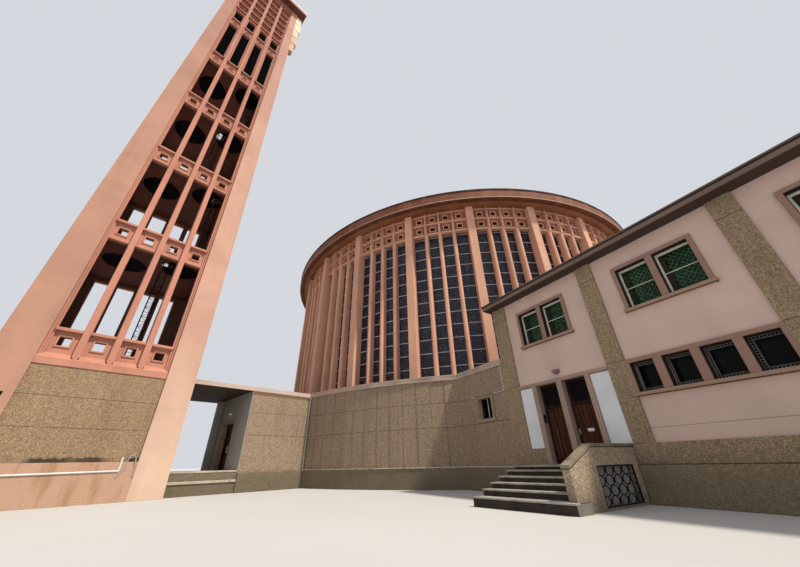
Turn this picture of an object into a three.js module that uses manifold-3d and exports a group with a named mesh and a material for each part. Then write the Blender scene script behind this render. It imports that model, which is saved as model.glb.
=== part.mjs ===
// A round modern church with its bell tower, portico and presbytery house, as a scale model at 1:2.
// Sizes are written in metres of the real building, and MM turns them into millimetres of the model.
// The origin is the drum's axis at ground level. -X runs along the portico to the tower, +Z is up.
import * as THREE from 'three';
import { mergeVertices } from 'three/addons/utils/BufferGeometryUtils.js';
import Module from 'manifold-3d';

const wasm = await Module();
wasm.setup();

// Scale and clearances
const MM = 500;
const GAP = 0.0006;
const DOOR_CLEARANCE = 0.016;
const DOOR_MEETING = 0.02;
const PIN_R = 0.012;
const SEGMENT_GAP = 0.003;

// Levels above the lowest ground
const FLOOR_TOP = 1.03;
const PLINTH_TOP = 1.5;
const COPING_LOW = 5.2;
const COPING_TOP = 5.45;

// Drum
const BAYS = 24;
const BAY_ANGLE = 360 / BAYS;
const FIRST_RIB = 174.3;
const RIB_FACE_R = 20.0;
const RIB_WIDTH = 0.6;
const FIN_FACE_R = 19.78;
const FIN_WIDTH = 0.22;
const BLADE_FACE_R = 19.86;
const BLADE_WIDTH = 0.1;
const FRAME_BACK_R = 19.2;
const POST_BACK_R = 19.22;
const BEAM_FACE_R = 19.94;
const PANEL_FACE_R = 19.5;
const SILL_LOW = 4.6;
const SILL_TOP = 5.75;
const LIGHT_HEAD = 17.55;
const RIB_TOP = 19.72;
const GLASS_THICK = 0.12;
const GLASS_LAP = 0.2;
const DRUM_SEGMENTS = 4;
const FIN_ANGLES = [4.18, 7.5, 10.82];
const NAVE_FLOOR_R = 21.6;

// Drum roof and cornice
const CORNICE_R = 20.89;
const CORNICE_STEP_R = 20.38;
const CORNICE_LOW = 19.8;
const CORNICE_SOFFIT = 19.98;
const CORNICE_TOP = 20.65;
const ROOF_RISE = 1.5;
const ROOF_THICK = 0.45;
const ROOF_FACETS = 72;

// Gallery around the drum
const GALLERY_R = 22.0;
const GALLERY_WALL = 0.35;
const COPING_OUT = 0.06;
const GALLERY_ROOF_INNER_R = 20.03;
const WALL_STEP = 5;
const ROOF_PARTS = 3;
const CORNER_A = 185.1;
const CORNER_B = 212.6;
const HOUSE_MEETS_RING = 226;
const PORTICO_MEETS_RING = 529.8;
const GALLERY_WINDOW = { low: 1.44, high: 2.36, bottom: 2.95, top: 3.9, frame: 0.14, proud: 0.07 };

// Portico between the gallery and the tower
const PORTICO_NEAR_Y = -1.95;
const PORTICO_FAR_Y = 3.9;
const PORTICO_END_X = -29.08;
const PORTICO_WALL = 0.35;
const NEAR_WALL_END_X = -25.85;
const PORTICO_DOOR = { low: 0.05, high: 1.95, top: 3.62 };
const DOOR_LEAF = 0.08;
const LEAF_RECESS = 0.02;
const PORTICO_ROOF_END_X = -20.5;

// Tower
const TOWER_X = -32.84;
const TOWER_Y = 1.38;
const TOWER_HALF = 3.77;
const TOWER_LEAN = 0.01322;
const FIELD_HALF = 2.4;
const PIER_THICK = 0.6;
const TOWER_WALL_TOP = 49.5;
const TOWER_ROOF_TOP = 49.95;
const TOWER_OVERHANG = 0.75;
const BASE_RECESS = 0.14;
const BASE_WALL = 0.4;
const BASE_TOP = 5.2;
const GRID_RECESS = 0.4;
const GRID_THICK = 0.28;
const MULLION_WIDTH = 0.26;
const STRIP_HALF = 0.15;
const TOP_STRIP_HALF = 0.25;
const MULLION_RECESS = 0.1;
const MULLION_FOOT = 5.62;
const MULLION_TOP = 49.27;
const STAGES = [[6.87, 12.04], [13.3, 18.42], [19.7, 24.84], [26.1, 31.34], [32.6, 38.2]];
const SMALL_OPENINGS = [39.3, 41.05];
const SPANDREL_HOLES = [6.3, 12.67, 19.06, 25.47];
const SPANDREL_HOLE = 0.42;
const TOWER_FLOORS = [12.25, 18.62, 25.05, 31.55];
const TOWER_FLOOR_THICK = 0.25;
const FLOOR_HOLES = [{ x: -1.21, y: -0.4, r: 1.1 }, { x: 1.44, y: -1.55, r: 1.03 }];
const LOUVRE_LEVELS = [32.3, 41.2];
const LADDER = { x: [0.7, 2.03], y: -1.5, width: 0.36, bar: 0.06, rung: 0.05, pitch: 3.0, above: 1.1 };
const LANDING = [0.08, 0.14];

// Presbytery house: s runs along its front from the corner by the gallery, d runs into the house
const HOUSE_X = -19.425;
const HOUSE_Y = -15.113;
const HOUSE_ANGLE = -104.39;
const HOUSE_LENGTH = 18.6;
const HOUSE_DEPTH = 8.0;
const HOUSE_CUT_D = 4.0;
const HOUSE_CUT_S = 1.9;
const HOUSE_WALL = 0.35;
const FACE_BACK = 0.07;
const HOUSE_WALL_TOP = 7.95;
const HOUSE_ROOF_TOP = 8.22;
const HOUSE_OVERHANGS = [0.45, 0.2, 0.45, 0.2, 0.2];
const UPPER_FLOOR = [4.3, 4.55];
const PILASTERS = [[0, 0.75], [4.7, 5.3], [9.1, 9.7], [13.5, 14.1], [17.85, 18.6]];
const DOORS = [[1.64, 2.6], [2.82, 3.8]];
const DOOR_HEAD = 3.9;
const LOWER_TOP = 4.2;
const LOWER_WINDOW = [2.98, 3.92];
const LOWER_LIGHTS = [[0.11, 0.81], [1.05, 1.79], [2.02, 2.76], [2.98, 3.7]];
const UPPER_WINDOW = [5.65, 7.17];
const UPPER_LIGHTS = [[0.77, 1.78], [1.98, 3.0]];
const FRAME_PROUD = 0.07;
const FRAME_EDGE = 0.12;

// Steps and flank wall before the presbytery doors; k runs out from the front
const STEP_FRONTS = [3.95, 3.5, 3.1, 2.7, 2.3, 1.9];
const STEP_TOPS = [0.245, 0.42, 0.58, 0.74, 0.9, 1.02];
const STEP_TURN = -0.154;
const STEP_PIVOT = 2.5;
const STEPS_LEFT = 1.6;
const STEP_END = 4.72;
const STEP_WRAP = 3.0;
const FLANK = { left: 4.42, right: 4.65, level: 2.25, end: 3.43, top: 1.56, low: 1.05 };
const GRILLE = { near: 0.35, far: 2.24, low: 0.06, top: 1.02 };

// Materials
const pinkConcrete = new THREE.MeshStandardMaterial({ color: 0xd69c80, roughness: 0.9 });
const darkConcrete = new THREE.MeshStandardMaterial({ color: 0xa4604a, roughness: 0.9 });
const aggregate = new THREE.MeshStandardMaterial({ color: 0x9a7c62, roughness: 1.0 });
const render = new THREE.MeshStandardMaterial({ color: 0xc29a8e, roughness: 0.9 });
const greyConcrete = new THREE.MeshStandardMaterial({ color: 0x8d857c, roughness: 0.95 });
const roofing = new THREE.MeshStandardMaterial({ color: 0x5d4a42, roughness: 0.8 });
const darkGlass = new THREE.MeshStandardMaterial({ color: 0x1b2434, roughness: 0.2 });
const wood = new THREE.MeshStandardMaterial({ color: 0x45261a, roughness: 0.6 });
const iron = new THREE.MeshStandardMaterial({ color: 0x1c1c1e, roughness: 0.5, metalness: 0.7 });

const church = new THREE.Group();
const tower = new THREE.Group();
tower.position.set(TOWER_X * MM, TOWER_Y * MM, 0);
const house = new THREE.Group();
house.position.set(HOUSE_X * MM, HOUSE_Y * MM, 0);
house.rotation.z = THREE.MathUtils.degToRad(HOUSE_ANGLE);
church.add(tower, house);

// Shape helpers
function rect(x0, x1, y0, y1) {
  return [[x0, y0], [x1, y0], [x1, y1], [x0, y1]];
}

function shapeOf(outline, holes = []) {
  const toVector = ([x, y]) => new THREE.Vector2(x * MM, y * MM);
  const shape = new THREE.Shape(outline.map(toVector));
  shape.holes = holes.map((hole) => new THREE.Path(hole.map(toVector)));
  return shape;
}

// A plan outline raised from one level to another
function prism(outline, low, high, holes = []) {
  const options = { depth: (high - low) * MM, bevelEnabled: false };
  const geometry = new THREE.ExtrudeGeometry(shapeOf(outline, holes), options);
  return geometry.translate(0, 0, low * MM);
}

// An elevation outline (along X, up Z) given its thickness along Y
function elevation(outline, yLow, yHigh) {
  const options = { depth: (yHigh - yLow) * MM, bevelEnabled: false };
  const geometry = new THREE.ExtrudeGeometry(shapeOf(outline), options);
  return geometry.rotateX(Math.PI / 2).translate(0, yHigh * MM, 0);
}

function block(x0, x1, y0, y1, z0, z1) {
  return prism(rect(x0, x1, y0, y1), z0, z1);
}

function polar(radius, degrees) {
  const angle = THREE.MathUtils.degToRad(degrees);
  return [radius * Math.cos(angle), radius * Math.sin(angle)];
}

// A ring sector whose facets turn at the given angles
function sector(inner, outer, angles, low, high) {
  const outside = angles.map((angle) => polar(outer, angle));
  const inside = angles.map((angle) => polar(inner, angle)).reverse();
  return prism([...outside, ...inside], low, high);
}

function steppedAngles(start, end, step) {
  const count = Math.max(1, Math.round((end - start) / step));
  return Array.from({ length: count + 1 }, (_, i) => start + ((end - start) * i) / count);
}

function circle(x, y, radius, sides) {
  return Array.from({ length: sides }, (_, i) => {
    const [dx, dy] = polar(radius, (360 * (i + 0.5)) / sides);
    return [x + dx, y + dy];
  });
}

// Closed mesh to solid and back
function solid(geometry) {
  geometry.deleteAttribute('normal');
  geometry.deleteAttribute('uv');
  const merged = mergeVertices(geometry, 0.001);
  const vertProperties = new Float32Array(merged.attributes.position.array);
  const triVerts = new Uint32Array(merged.index.array);
  return new wasm.Manifold(new wasm.Mesh({ numProp: 3, vertProperties, triVerts }));
}

function union(geometries) {
  return geometries.map(solid).reduce((whole, piece) => whole.add(piece));
}

// Square openings, given as elevation outlines, cut through a wall that faces along Y
function pierced(body, openings) {
  const cut = (wall, opening) => wall.subtract(solid(elevation(opening, -HOUSE_DEPTH, HOUSE_DEPTH)));
  return openings.reduce(cut, body);
}

function geometryOf(body) {
  const mesh = body.getMesh();
  const geometry = new THREE.BufferGeometry();
  geometry.setAttribute('position', new THREE.BufferAttribute(mesh.vertProperties, 3));
  geometry.setIndex(new THREE.BufferAttribute(mesh.triVerts, 1));
  geometry.computeVertexNormals();
  return geometry;
}

function addMesh(name, geometry, material, parent = church) {
  const mesh = new THREE.Mesh(geometry, material);
  mesh.name = name;
  parent.add(mesh);
  return mesh;
}

// Nave floor
function naveFloor() {
  const outline = circle(0, 0, NAVE_FLOOR_R, 72);
  addMesh('nave_floor', prism(outline, 0, FLOOR_TOP), greyConcrete);
}

// Angles at which the drum's wall turns: at each rib and each fin
function bayAngles(firstBay, bayCount) {
  const angles = [];
  for (let bay = firstBay; bay < firstBay + bayCount; bay += 1) {
    const rib = FIRST_RIB + bay * BAY_ANGLE;
    angles.push(rib, ...FIN_ANGLES.map((angle) => rib + angle));
  }
  angles.push(FIRST_RIB + (firstBay + bayCount) * BAY_ANGLE);
  return angles;
}

function radialPost(angle, backR, faceR, width, low, high) {
  const post = block(backR, faceR, -width / 2, width / 2, low, high);
  return post.rotateZ(THREE.MathUtils.degToRad(angle));
}

// One segment of the drum: ribs standing on the floor, ring beam, fins between the lights, and over
// them the panelled band, where the fins are thin blades
function drumWall(segment) {
  const bays = BAYS / DRUM_SEGMENTS;
  const first = segment * bays;
  const angles = bayAngles(first, bays);
  const halfRib = THREE.MathUtils.radToDeg(Math.asin((RIB_WIDTH / 2 + GAP) / FRAME_BACK_R));
  angles[angles.length - 1] -= halfRib;
  const pieces = [
    sector(FRAME_BACK_R, BEAM_FACE_R, angles, SILL_LOW, SILL_TOP),
    sector(FRAME_BACK_R, PANEL_FACE_R, angles, LIGHT_HEAD, RIB_TOP),
  ];
  for (let bay = first; bay < first + bays; bay += 1) {
    const rib = FIRST_RIB + bay * BAY_ANGLE;
    pieces.push(radialPost(rib, POST_BACK_R, RIB_FACE_R, RIB_WIDTH, FLOOR_TOP + GAP, RIB_TOP));
    for (const offset of FIN_ANGLES) {
      const angle = rib + offset;
      pieces.push(radialPost(angle, POST_BACK_R, FIN_FACE_R, FIN_WIDTH, SILL_TOP - 0.1, LIGHT_HEAD + 0.1));
      pieces.push(radialPost(angle, POST_BACK_R, BLADE_FACE_R, BLADE_WIDTH, LIGHT_HEAD, RIB_TOP));
    }
  }
  addMesh(`drum_wall_${segment + 1}`, geometryOf(union(pieces)), pinkConcrete);
}

// Stained glass behind the frames, a faceted sheet over each half of the drum
function stainedGlass(half) {
  const bays = BAYS / 2;
  const angles = bayAngles(half * bays, bays);
  angles[angles.length - 1] -= SEGMENT_GAP;
  const outer = FRAME_BACK_R - GAP;
  const sheet = sector(outer - GLASS_THICK, outer, angles, SILL_TOP - GLASS_LAP, LIGHT_HEAD + GLASS_LAP);
  addMesh(`stained_glass_${half + 1}`, sheet, darkGlass);
}

// Shallow domed roof with its cornice
function naveRoof() {
  const low = RIB_TOP + GAP;
  const profile = [
    [0, CORNICE_TOP + ROOF_RISE - ROOF_THICK],
    [FRAME_BACK_R - 0.3, low],
    [RIB_FACE_R + 0.1, low],
    [CORNICE_STEP_R, CORNICE_LOW],
    [CORNICE_STEP_R, CORNICE_SOFFIT],
    [CORNICE_R, CORNICE_LOW],
    [CORNICE_R, CORNICE_TOP],
    [0, CORNICE_TOP + ROOF_RISE],
  ];
  const points = profile.map(([r, z]) => new THREE.Vector2(r * MM, z * MM));
  const roof = new THREE.LatheGeometry(points, ROOF_FACETS).rotateX(Math.PI / 2);
  roof.rotateZ(THREE.MathUtils.degToRad(FIRST_RIB));
  addMesh('nave_roof', geometryOf(solid(roof)), darkConcrete);
}

// Gallery walls: two visible stretches by the portico and the house, three long arcs behind
function houseToChurch(s, d) {
  const angle = THREE.MathUtils.degToRad(HOUSE_ANGLE);
  const x = HOUSE_X + s * Math.cos(angle) - d * Math.sin(angle);
  const y = HOUSE_Y + s * Math.sin(angle) + d * Math.cos(angle);
  return [x, y];
}

function galleryWalls() {
  const inner = GALLERY_R - GALLERY_WALL;
  const top = COPING_LOW - GAP;
  const front = steppedAngles(CORNER_A, CORNER_B, WALL_STEP);
  addMesh('gallery_wall_1', sector(inner, GALLERY_R, front, 0, top), aggregate);
  const span = (PORTICO_MEETS_RING - HOUSE_MEETS_RING) / 3;
  for (let i = 0; i < 3; i += 1) {
    const start = HOUSE_MEETS_RING + i * span + (i > 0 ? SEGMENT_GAP : 0);
    const arc = steppedAngles(start, HOUSE_MEETS_RING + (i + 1) * span, WALL_STEP);
    addMesh(`gallery_wall_${i + 3}`, sector(inner, GALLERY_R, arc, 0, top), aggregate);
  }
}

// The straight wall from the ring to the presbytery, with the small framed window
function windowedGalleryWall() {
  const corner = polar(GALLERY_R, CORNER_B);
  const end = houseToChurch(0, 0);
  const length = Math.hypot(end[0] - corner[0], end[1] - corner[1]) - 2 * GAP;
  const wall = new THREE.Group();
  wall.position.set(corner[0] * MM, corner[1] * MM, 0);
  wall.rotation.z = Math.atan2(end[1] - corner[1], end[0] - corner[0]);
  const skew = GALLERY_WALL * Math.tan(house.rotation.z - wall.rotation.z);
  church.add(wall);
  const { low, high, bottom, top, frame, proud } = GALLERY_WINDOW;
  const opening = rect(low, high, bottom, top);
  const plan = [[GAP, 0], [length, 0], [length - skew, GALLERY_WALL], [GAP, GALLERY_WALL]];
  const slab = prism(plan, 0, COPING_LOW - GAP);
  const border = rect(low - frame, high + frame, bottom - frame, top + frame);
  const surround = elevation(border, -proud, 0.1);
  const mitre = prism([[-0.3, 0], [0, 0], [0.25, 0.6], [-0.3, 0.6]], -1, COPING_TOP);
  const body = pierced(union([slab, surround]).subtract(solid(mitre)), [opening]);
  addMesh('gallery_wall_2', geometryOf(body), aggregate, wall);
  const glassFace = GALLERY_WALL + GAP;
  const pane = elevation(rect(low - 0.1, high + 0.1, bottom - 0.1, top + 0.1), glassFace, glassFace + 0.05);
  addMesh('gallery_window', pane, darkGlass, wall);
}

// Gallery roof slab with its coping, in three parts, the first one reaching over to the presbytery
function galleryRoofs() {
  const outer = GALLERY_R + COPING_OUT;
  const bays = BAYS / ROOF_PARTS;
  for (let part = 0; part < ROOF_PARTS; part += 1) {
    const start = FIRST_RIB + part * bays * BAY_ANGLE;
    const inside = bayAngles(part * bays, bays);
    inside[inside.length - 1] -= SEGMENT_GAP;
    const outside = steppedAngles(start, start + bays * BAY_ANGLE - SEGMENT_GAP, WALL_STEP);
    const outline = [
      ...outside.map((angle) => polar(outer, angle)),
      ...inside.map((angle) => polar(GALLERY_ROOF_INNER_R, angle)).reverse(),
    ];
    let body = solid(prism(outline, COPING_LOW, COPING_TOP));
    if (part === 0) {
      const near = houseToChurch(-GAP, -COPING_OUT);
      const far = houseToChurch(-GAP, HOUSE_CUT_D + 0.35);
      const annex = [polar(outer, CORNER_B), near, far, polar(21, HOUSE_MEETS_RING), polar(21, CORNER_B)];
      body = body.add(solid(prism(annex, COPING_LOW, COPING_TOP)));
    }
    addMesh(`gallery_roof_${part + 1}`, geometryOf(body), pinkConcrete);
  }
}

// A door leaf with the pivot pin on its hinge edge, which stands between floor and door head
function doorLeaf(outline, [pinX, pinY], head) {
  const leaf = prism(outline, FLOOR_TOP + DOOR_CLEARANCE, head - DOOR_CLEARANCE);
  const pin = prism(circle(pinX, pinY, PIN_R, 8), FLOOR_TOP + GAP, head - GAP);
  return geometryOf(union([leaf, pin]));
}

// Portico: slab roof, floor, near wall, far wall and the cross wall with its double door
function portico() {
  const ringEnd = -Math.sqrt(GALLERY_R ** 2 - PORTICO_NEAR_Y ** 2);
  const near = PORTICO_NEAR_Y;
  const far = PORTICO_FAR_Y;
  const ringAngles = steppedAngles(FIRST_RIB, FIRST_RIB + 360 - WALL_STEP, WALL_STEP);
  const ringOutline = ringAngles.map((angle) => polar(GALLERY_R + COPING_OUT + 2 * GAP, angle));
  const ringCut = solid(prism(ringOutline, -1, HOUSE_DEPTH));
  const slab = block(PORTICO_END_X, PORTICO_ROOF_END_X, near, far, COPING_LOW, COPING_TOP);
  const roof = solid(slab).subtract(ringCut);
  addMesh('portico_roof', geometryOf(roof), pinkConcrete);

  const floorCut = solid(prism(circle(0, 0, NAVE_FLOOR_R + GAP, 72), -1, HOUSE_DEPTH));
  const wallFootX = NEAR_WALL_END_X;
  const inner = near + PORTICO_WALL + GAP;
  const farInner = far - PORTICO_WALL - GAP;
  const towerSide = TOWER_X + TOWER_HALF + GAP;
  const floorOutline = [
    [towerSide, near], [wallFootX - GAP, near], [wallFootX - GAP, inner], [PORTICO_ROOF_END_X, inner],
    [PORTICO_ROOF_END_X, farInner], [wallFootX - GAP, farInner], [wallFootX - GAP, far], [towerSide, far],
  ];
  const floor = solid(prism(floorOutline, 0, FLOOR_TOP)).subtract(floorCut);
  addMesh('portico_floor', geometryOf(floor), greyConcrete);

  const top = COPING_LOW - GAP;
  const nearWall = prism([
    [wallFootX, near], [ringEnd - GAP, near], [ringEnd + 0.02, near + PORTICO_WALL],
    [wallFootX, near + PORTICO_WALL],
  ], 0, top);
  addMesh('portico_near_wall', nearWall, aggregate);
  const farEnd = -Math.sqrt(GALLERY_R ** 2 - far ** 2) - 0.02;
  const farWall = block(wallFootX, farEnd, far - PORTICO_WALL, far, 0, top);

  const face = wallFootX;
  const back = wallFootX + PORTICO_WALL;
  const { low, high, top: head } = PORTICO_DOOR;
  const foot = FLOOR_TOP + GAP;
  const nearSide = block(face, back, near + PORTICO_WALL + GAP, low, foot, top);
  addMesh('portico_door_wall_near', nearSide, greyConcrete);
  const farSide = block(face, back, high, far - PORTICO_WALL + 0.1, foot, top);
  addMesh('portico_far_wall', geometryOf(union([farWall, farSide])), aggregate);
  addMesh('portico_door_head', block(face, back, low + GAP, high - GAP, head, top), greyConcrete);

  const leafBack = back - LEAF_RECESS;
  const middle = (low + high) / 2;
  const halves = [['near', low + DOOR_CLEARANCE, middle - DOOR_MEETING / 2],
    ['far', high - DOOR_CLEARANCE, middle + DOOR_MEETING / 2]];
  for (const [side, hingeY, freeY] of halves) {
    const outline = rect(leafBack - DOOR_LEAF, leafBack, Math.min(hingeY, freeY), Math.max(hingeY, freeY));
    addMesh(`portico_door_${side}`, doorLeaf(outline, [leafBack, hingeY], head), wood);
  }
}

// Every face of the tower outside the opening field leans in with height
function lean(geometry) {
  const position = geometry.attributes.position;
  const limit = (FIELD_HALF + 0.01) * MM;
  for (let i = 0; i < position.count; i += 1) {
    const shift = TOWER_LEAN * position.getZ(i);
    const [x, y] = [position.getX(i), position.getY(i)];
    if (Math.abs(x) > limit) position.setX(i, x - Math.sign(x) * shift);
    if (Math.abs(y) > limit) position.setY(i, y - Math.sign(y) * shift);
  }
  return geometry;
}

const QUARTER_TURNS = [0, 1, 2, 3];

function towerPiers() {
  const outer = TOWER_HALF;
  const inner = TOWER_HALF - PIER_THICK;
  const field = FIELD_HALF + GAP;
  const outline = [[field, -outer], [outer, -outer], [outer, -field], [inner, -field], [inner, -inner],
    [field, -inner]];
  for (const turn of QUARTER_TURNS) {
    const pier = lean(prism(outline, 0, TOWER_WALL_TOP)).rotateZ((turn * Math.PI) / 2);
    addMesh(`tower_pier_${turn + 1}`, pier, pinkConcrete, tower);
  }
}

// The closed base: aggregate walls between the piers, round the tower's bottom slab
function towerBase() {
  const face = -(TOWER_HALF - BASE_RECESS);
  const slabHalf = TOWER_HALF - PIER_THICK - TOWER_LEAN * FLOOR_TOP - 0.005;
  const pieces = [block(-slabHalf, slabHalf, -slabHalf, slabHalf, 0, FLOOR_TOP)];
  for (const turn of QUARTER_TURNS) {
    const wall = block(-FIELD_HALF, FIELD_HALF, face, face + BASE_WALL, 0, BASE_TOP - GAP);
    const plinth = block(-FIELD_HALF, FIELD_HALF, -TOWER_HALF + 0.02, face + 0.1, 0, PLINTH_TOP);
    const footing = block(-FIELD_HALF, FIELD_HALF, face + 0.1, -slabHalf + 0.1, 0, FLOOR_TOP);
    pieces.push(...[wall, plinth, footing].map((piece) => lean(piece).rotateZ((turn * Math.PI) / 2)));
  }
  addMesh('tower_base', geometryOf(union(pieces)), aggregate, tower);
}

// One side of the open shaft: spandrels pierced by square holes, tall openings and three mullions
function towerGrid(turn) {
  const columns = 4;
  const pitch = (2 * FIELD_HALF) / columns;
  const holes = [];
  for (let column = 0; column < columns; column += 1) {
    const centre = -FIELD_HALF + (column + 0.5) * pitch;
    for (const [low, high] of [...STAGES, SMALL_OPENINGS]) {
      const half = pitch / 2 - (low < LOUVRE_LEVELS[0] ? STRIP_HALF : TOP_STRIP_HALF);
      holes.push(rect(centre - half, centre + half, low, high));
    }
    for (const level of SPANDREL_HOLES) {
      const half = SPANDREL_HOLE / 2;
      holes.push(rect(centre - half, centre + half, level - half, level + half));
    }
  }
  const face = -(TOWER_HALF - GRID_RECESS);
  const field = rect(-FIELD_HALF, FIELD_HALF, BASE_TOP, TOWER_WALL_TOP);
  const sill = [[-TOWER_HALF + BASE_RECESS - 0.04, BASE_TOP], [-TOWER_HALF + BASE_RECESS - 0.04, 5.5],
    [face + 0.1, 5.85], [face + 0.1, BASE_TOP]];
  const sillRun = { depth: 2 * FIELD_HALF * MM, bevelEnabled: false };
  const sillGeometry = new THREE.ExtrudeGeometry(shapeOf(sill), sillRun);
  sillGeometry.rotateX(Math.PI / 2).rotateZ(Math.PI / 2).translate(-FIELD_HALF * MM, 0, 0);
  const pieces = [];
  for (let column = 1; column < columns; column += 1) {
    const x = -FIELD_HALF + column * pitch;
    const front = -(TOWER_HALF - MULLION_RECESS);
    const half = MULLION_WIDTH / 2;
    pieces.push(block(x - half, x + half, front, face + 0.1, MULLION_FOOT, MULLION_TOP));
  }
  const plate = pierced(solid(lean(elevation(field, face, face + GRID_THICK))), holes);
  const body = plate.add(union([...pieces, sillGeometry].map(lean)));
  const placed = geometryOf(body).rotateZ((turn * Math.PI) / 2);
  addMesh(`tower_grid_${turn + 1}`, placed, pinkConcrete, tower);
}

// Floors of the tower, each with two round holes
function towerFloors() {
  TOWER_FLOORS.forEach((level, index) => {
    const top = level + TOWER_FLOOR_THICK;
    const reach = TOWER_HALF - GRID_RECESS - GRID_THICK - TOWER_LEAN * top - GAP;
    const holes = FLOOR_HOLES.map(({ x, y, r }) => circle(x, y, r, 24));
    const plate = prism(rect(-reach, reach, -reach, reach), level, top, holes);
    addMesh(`tower_floor_${index + 1}`, plate, darkConcrete, tower);
  });
}

// Dark louvred box behind the openings of the top stage
function towerLouvres() {
  const [low, high] = LOUVRE_LEVELS;
  const outer = TOWER_HALF - GRID_RECESS - GRID_THICK - GAP;
  const inner = outer - 0.12;
  const tube = solid(lean(prism(rect(-outer, outer, -outer, outer), low, high)));
  const bore = solid(lean(prism(rect(-inner, inner, -inner, inner), low - 1, high + 1)));
  addMesh('tower_louvres', geometryOf(tube.subtract(bore)), iron, tower);
}

// Ladder through the right-hand holes of the floors
function towerLadder() {
  const { x, y, width, bar, rung, pitch, above } = LADDER;
  const pieces = [];
  const rail = (x0, x1, low, high) => pieces.push(block(x0, x1, y - bar / 2, y + bar / 2, low, high));
  let foot = FLOOR_TOP + GAP;
  TOWER_FLOORS.forEach((level, index) => {
    const [left, right] = [-1, 1].map((side) => x[index % 2] + (side * width) / 2);
    const top = level + TOWER_FLOOR_THICK + above;
    rail(left - bar / 2, left + bar / 2, foot, top);
    rail(right - bar / 2, right + bar / 2, foot, top);
    for (let rise = foot + pitch / 2; rise < top - rung; rise += pitch) {
      pieces.push(block(left, right, y - rung / 2, y + rung / 2, rise, rise + rung));
    }
    if (index < TOWER_FLOORS.length - 1) {
      rail(x[0] - width / 2, x[1] + width / 2, level + LANDING[0], level + LANDING[1]);
    }
    foot = level + LANDING[0];
  });
  addMesh('tower_ladder', geometryOf(union(pieces)), iron, tower);
}

function towerTop() {
  const half = TOWER_HALF - TOWER_LEAN * TOWER_WALL_TOP + TOWER_OVERHANG;
  const low = TOWER_WALL_TOP + GAP;
  addMesh('tower_roof', block(-half, half, -half, half, low, TOWER_ROOF_TOP), pinkConcrete, tower);
}

// Presbytery front, in pieces beside and over its two doors
function housePilasters(low, high, sLow, sHigh) {
  const pieces = [];
  for (const [start, end] of PILASTERS) {
    const s0 = Math.max(start, sLow);
    const s1 = Math.min(end, sHigh);
    if (s1 > s0) pieces.push(block(s0, s1, 0, FACE_BACK + 0.1, low, high));
  }
  return pieces;
}

function houseWindows(bays, lights, [low, high]) {
  const holes = [];
  const frames = [];
  for (const bay of bays) {
    const start = PILASTERS[bay][1];
    holes.push(...lights.map(([from, to]) => rect(start + from, start + to, low, high)));
    const first = start + lights[0][0] - FRAME_EDGE;
    const last = start + lights[lights.length - 1][1] + FRAME_EDGE;
    const border = rect(first, last, low - FRAME_EDGE, high + FRAME_EDGE);
    frames.push(elevation(border, FACE_BACK - FRAME_PROUD, FACE_BACK + 0.1));
  }
  return { holes, frames };
}

function houseFront() {
  const back = FACE_BACK + HOUSE_WALL;
  const jambLeft = DOORS[0][0];
  const jambRight = DOORS[1][1];
  const left = [block(0, jambLeft, FACE_BACK, back, 0, DOOR_HEAD - GAP),
    ...housePilasters(0, DOOR_HEAD - GAP, 0, jambLeft)];
  addMesh('presbytery_front_left', geometryOf(union(left)), render, house);
  const post = block(DOORS[0][1], DOORS[1][0], FACE_BACK, back, FLOOR_TOP + GAP, DOOR_HEAD - GAP);
  addMesh('presbytery_door_post', post, render, house);

  const lower = houseWindows([1, 2, 3], LOWER_LIGHTS, LOWER_WINDOW);
  const lowerOutline = rect(jambRight, HOUSE_LENGTH, 0, LOWER_TOP - GAP);
  const lowerWall = union([elevation(lowerOutline, FACE_BACK, back), ...lower.frames,
    ...housePilasters(0, LOWER_TOP - GAP, jambRight, HOUSE_LENGTH)]);
  addMesh('presbytery_front_lower', geometryOf(pierced(lowerWall, lower.holes)), render, house);

  const upper = houseWindows([0, 1, 2, 3], UPPER_LIGHTS, UPPER_WINDOW);
  const upperOutline = [[0, DOOR_HEAD], [jambRight - GAP, DOOR_HEAD], [jambRight - GAP, LOWER_TOP],
    [HOUSE_LENGTH, LOWER_TOP], [HOUSE_LENGTH, HOUSE_WALL_TOP], [0, HOUSE_WALL_TOP]];
  const upperWall = union([elevation(upperOutline, FACE_BACK, back), ...upper.frames,
    ...housePilasters(LOWER_TOP, HOUSE_WALL_TOP, 0, HOUSE_LENGTH)]);
  addMesh('presbytery_front_upper', geometryOf(pierced(upperWall, upper.holes)), render, house);
}

// The house's plan, with one corner cut off beside the ring, and each edge moved in by its own inset:
// front, far end, back, cut corner, near end
function houseOutline(insets) {
  const corners = [[0, 0], [HOUSE_LENGTH, 0], [HOUSE_LENGTH, HOUSE_DEPTH], [HOUSE_CUT_S, HOUSE_DEPTH],
    [0, HOUSE_CUT_D]].map(([s, d]) => new THREE.Vector2(s, d));
  return corners.map((corner, i) => {
    const before = corner.clone().sub(corners[(i + 4) % 5]).normalize();
    const after = corners[(i + 1) % 5].clone().sub(corner).normalize();
    const turn = before.cross(after);
    const along = insets[(i + 4) % 5] / turn;
    const against = insets[i] / turn;
    return [corner.x + after.x * along - before.x * against, corner.y + after.y * along - before.y * against];
  });
}

function evenly(inset) {
  return Array(5).fill(inset);
}

// What stands behind the front wall: everything nearer is cut away
function behindFront(outline, low, high) {
  const front = block(-1, HOUSE_LENGTH + 1, -1, FACE_BACK + HOUSE_WALL + GAP, low - 1, high + 1);
  return solid(prism(outline, low, high)).subtract(solid(front));
}

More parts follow.
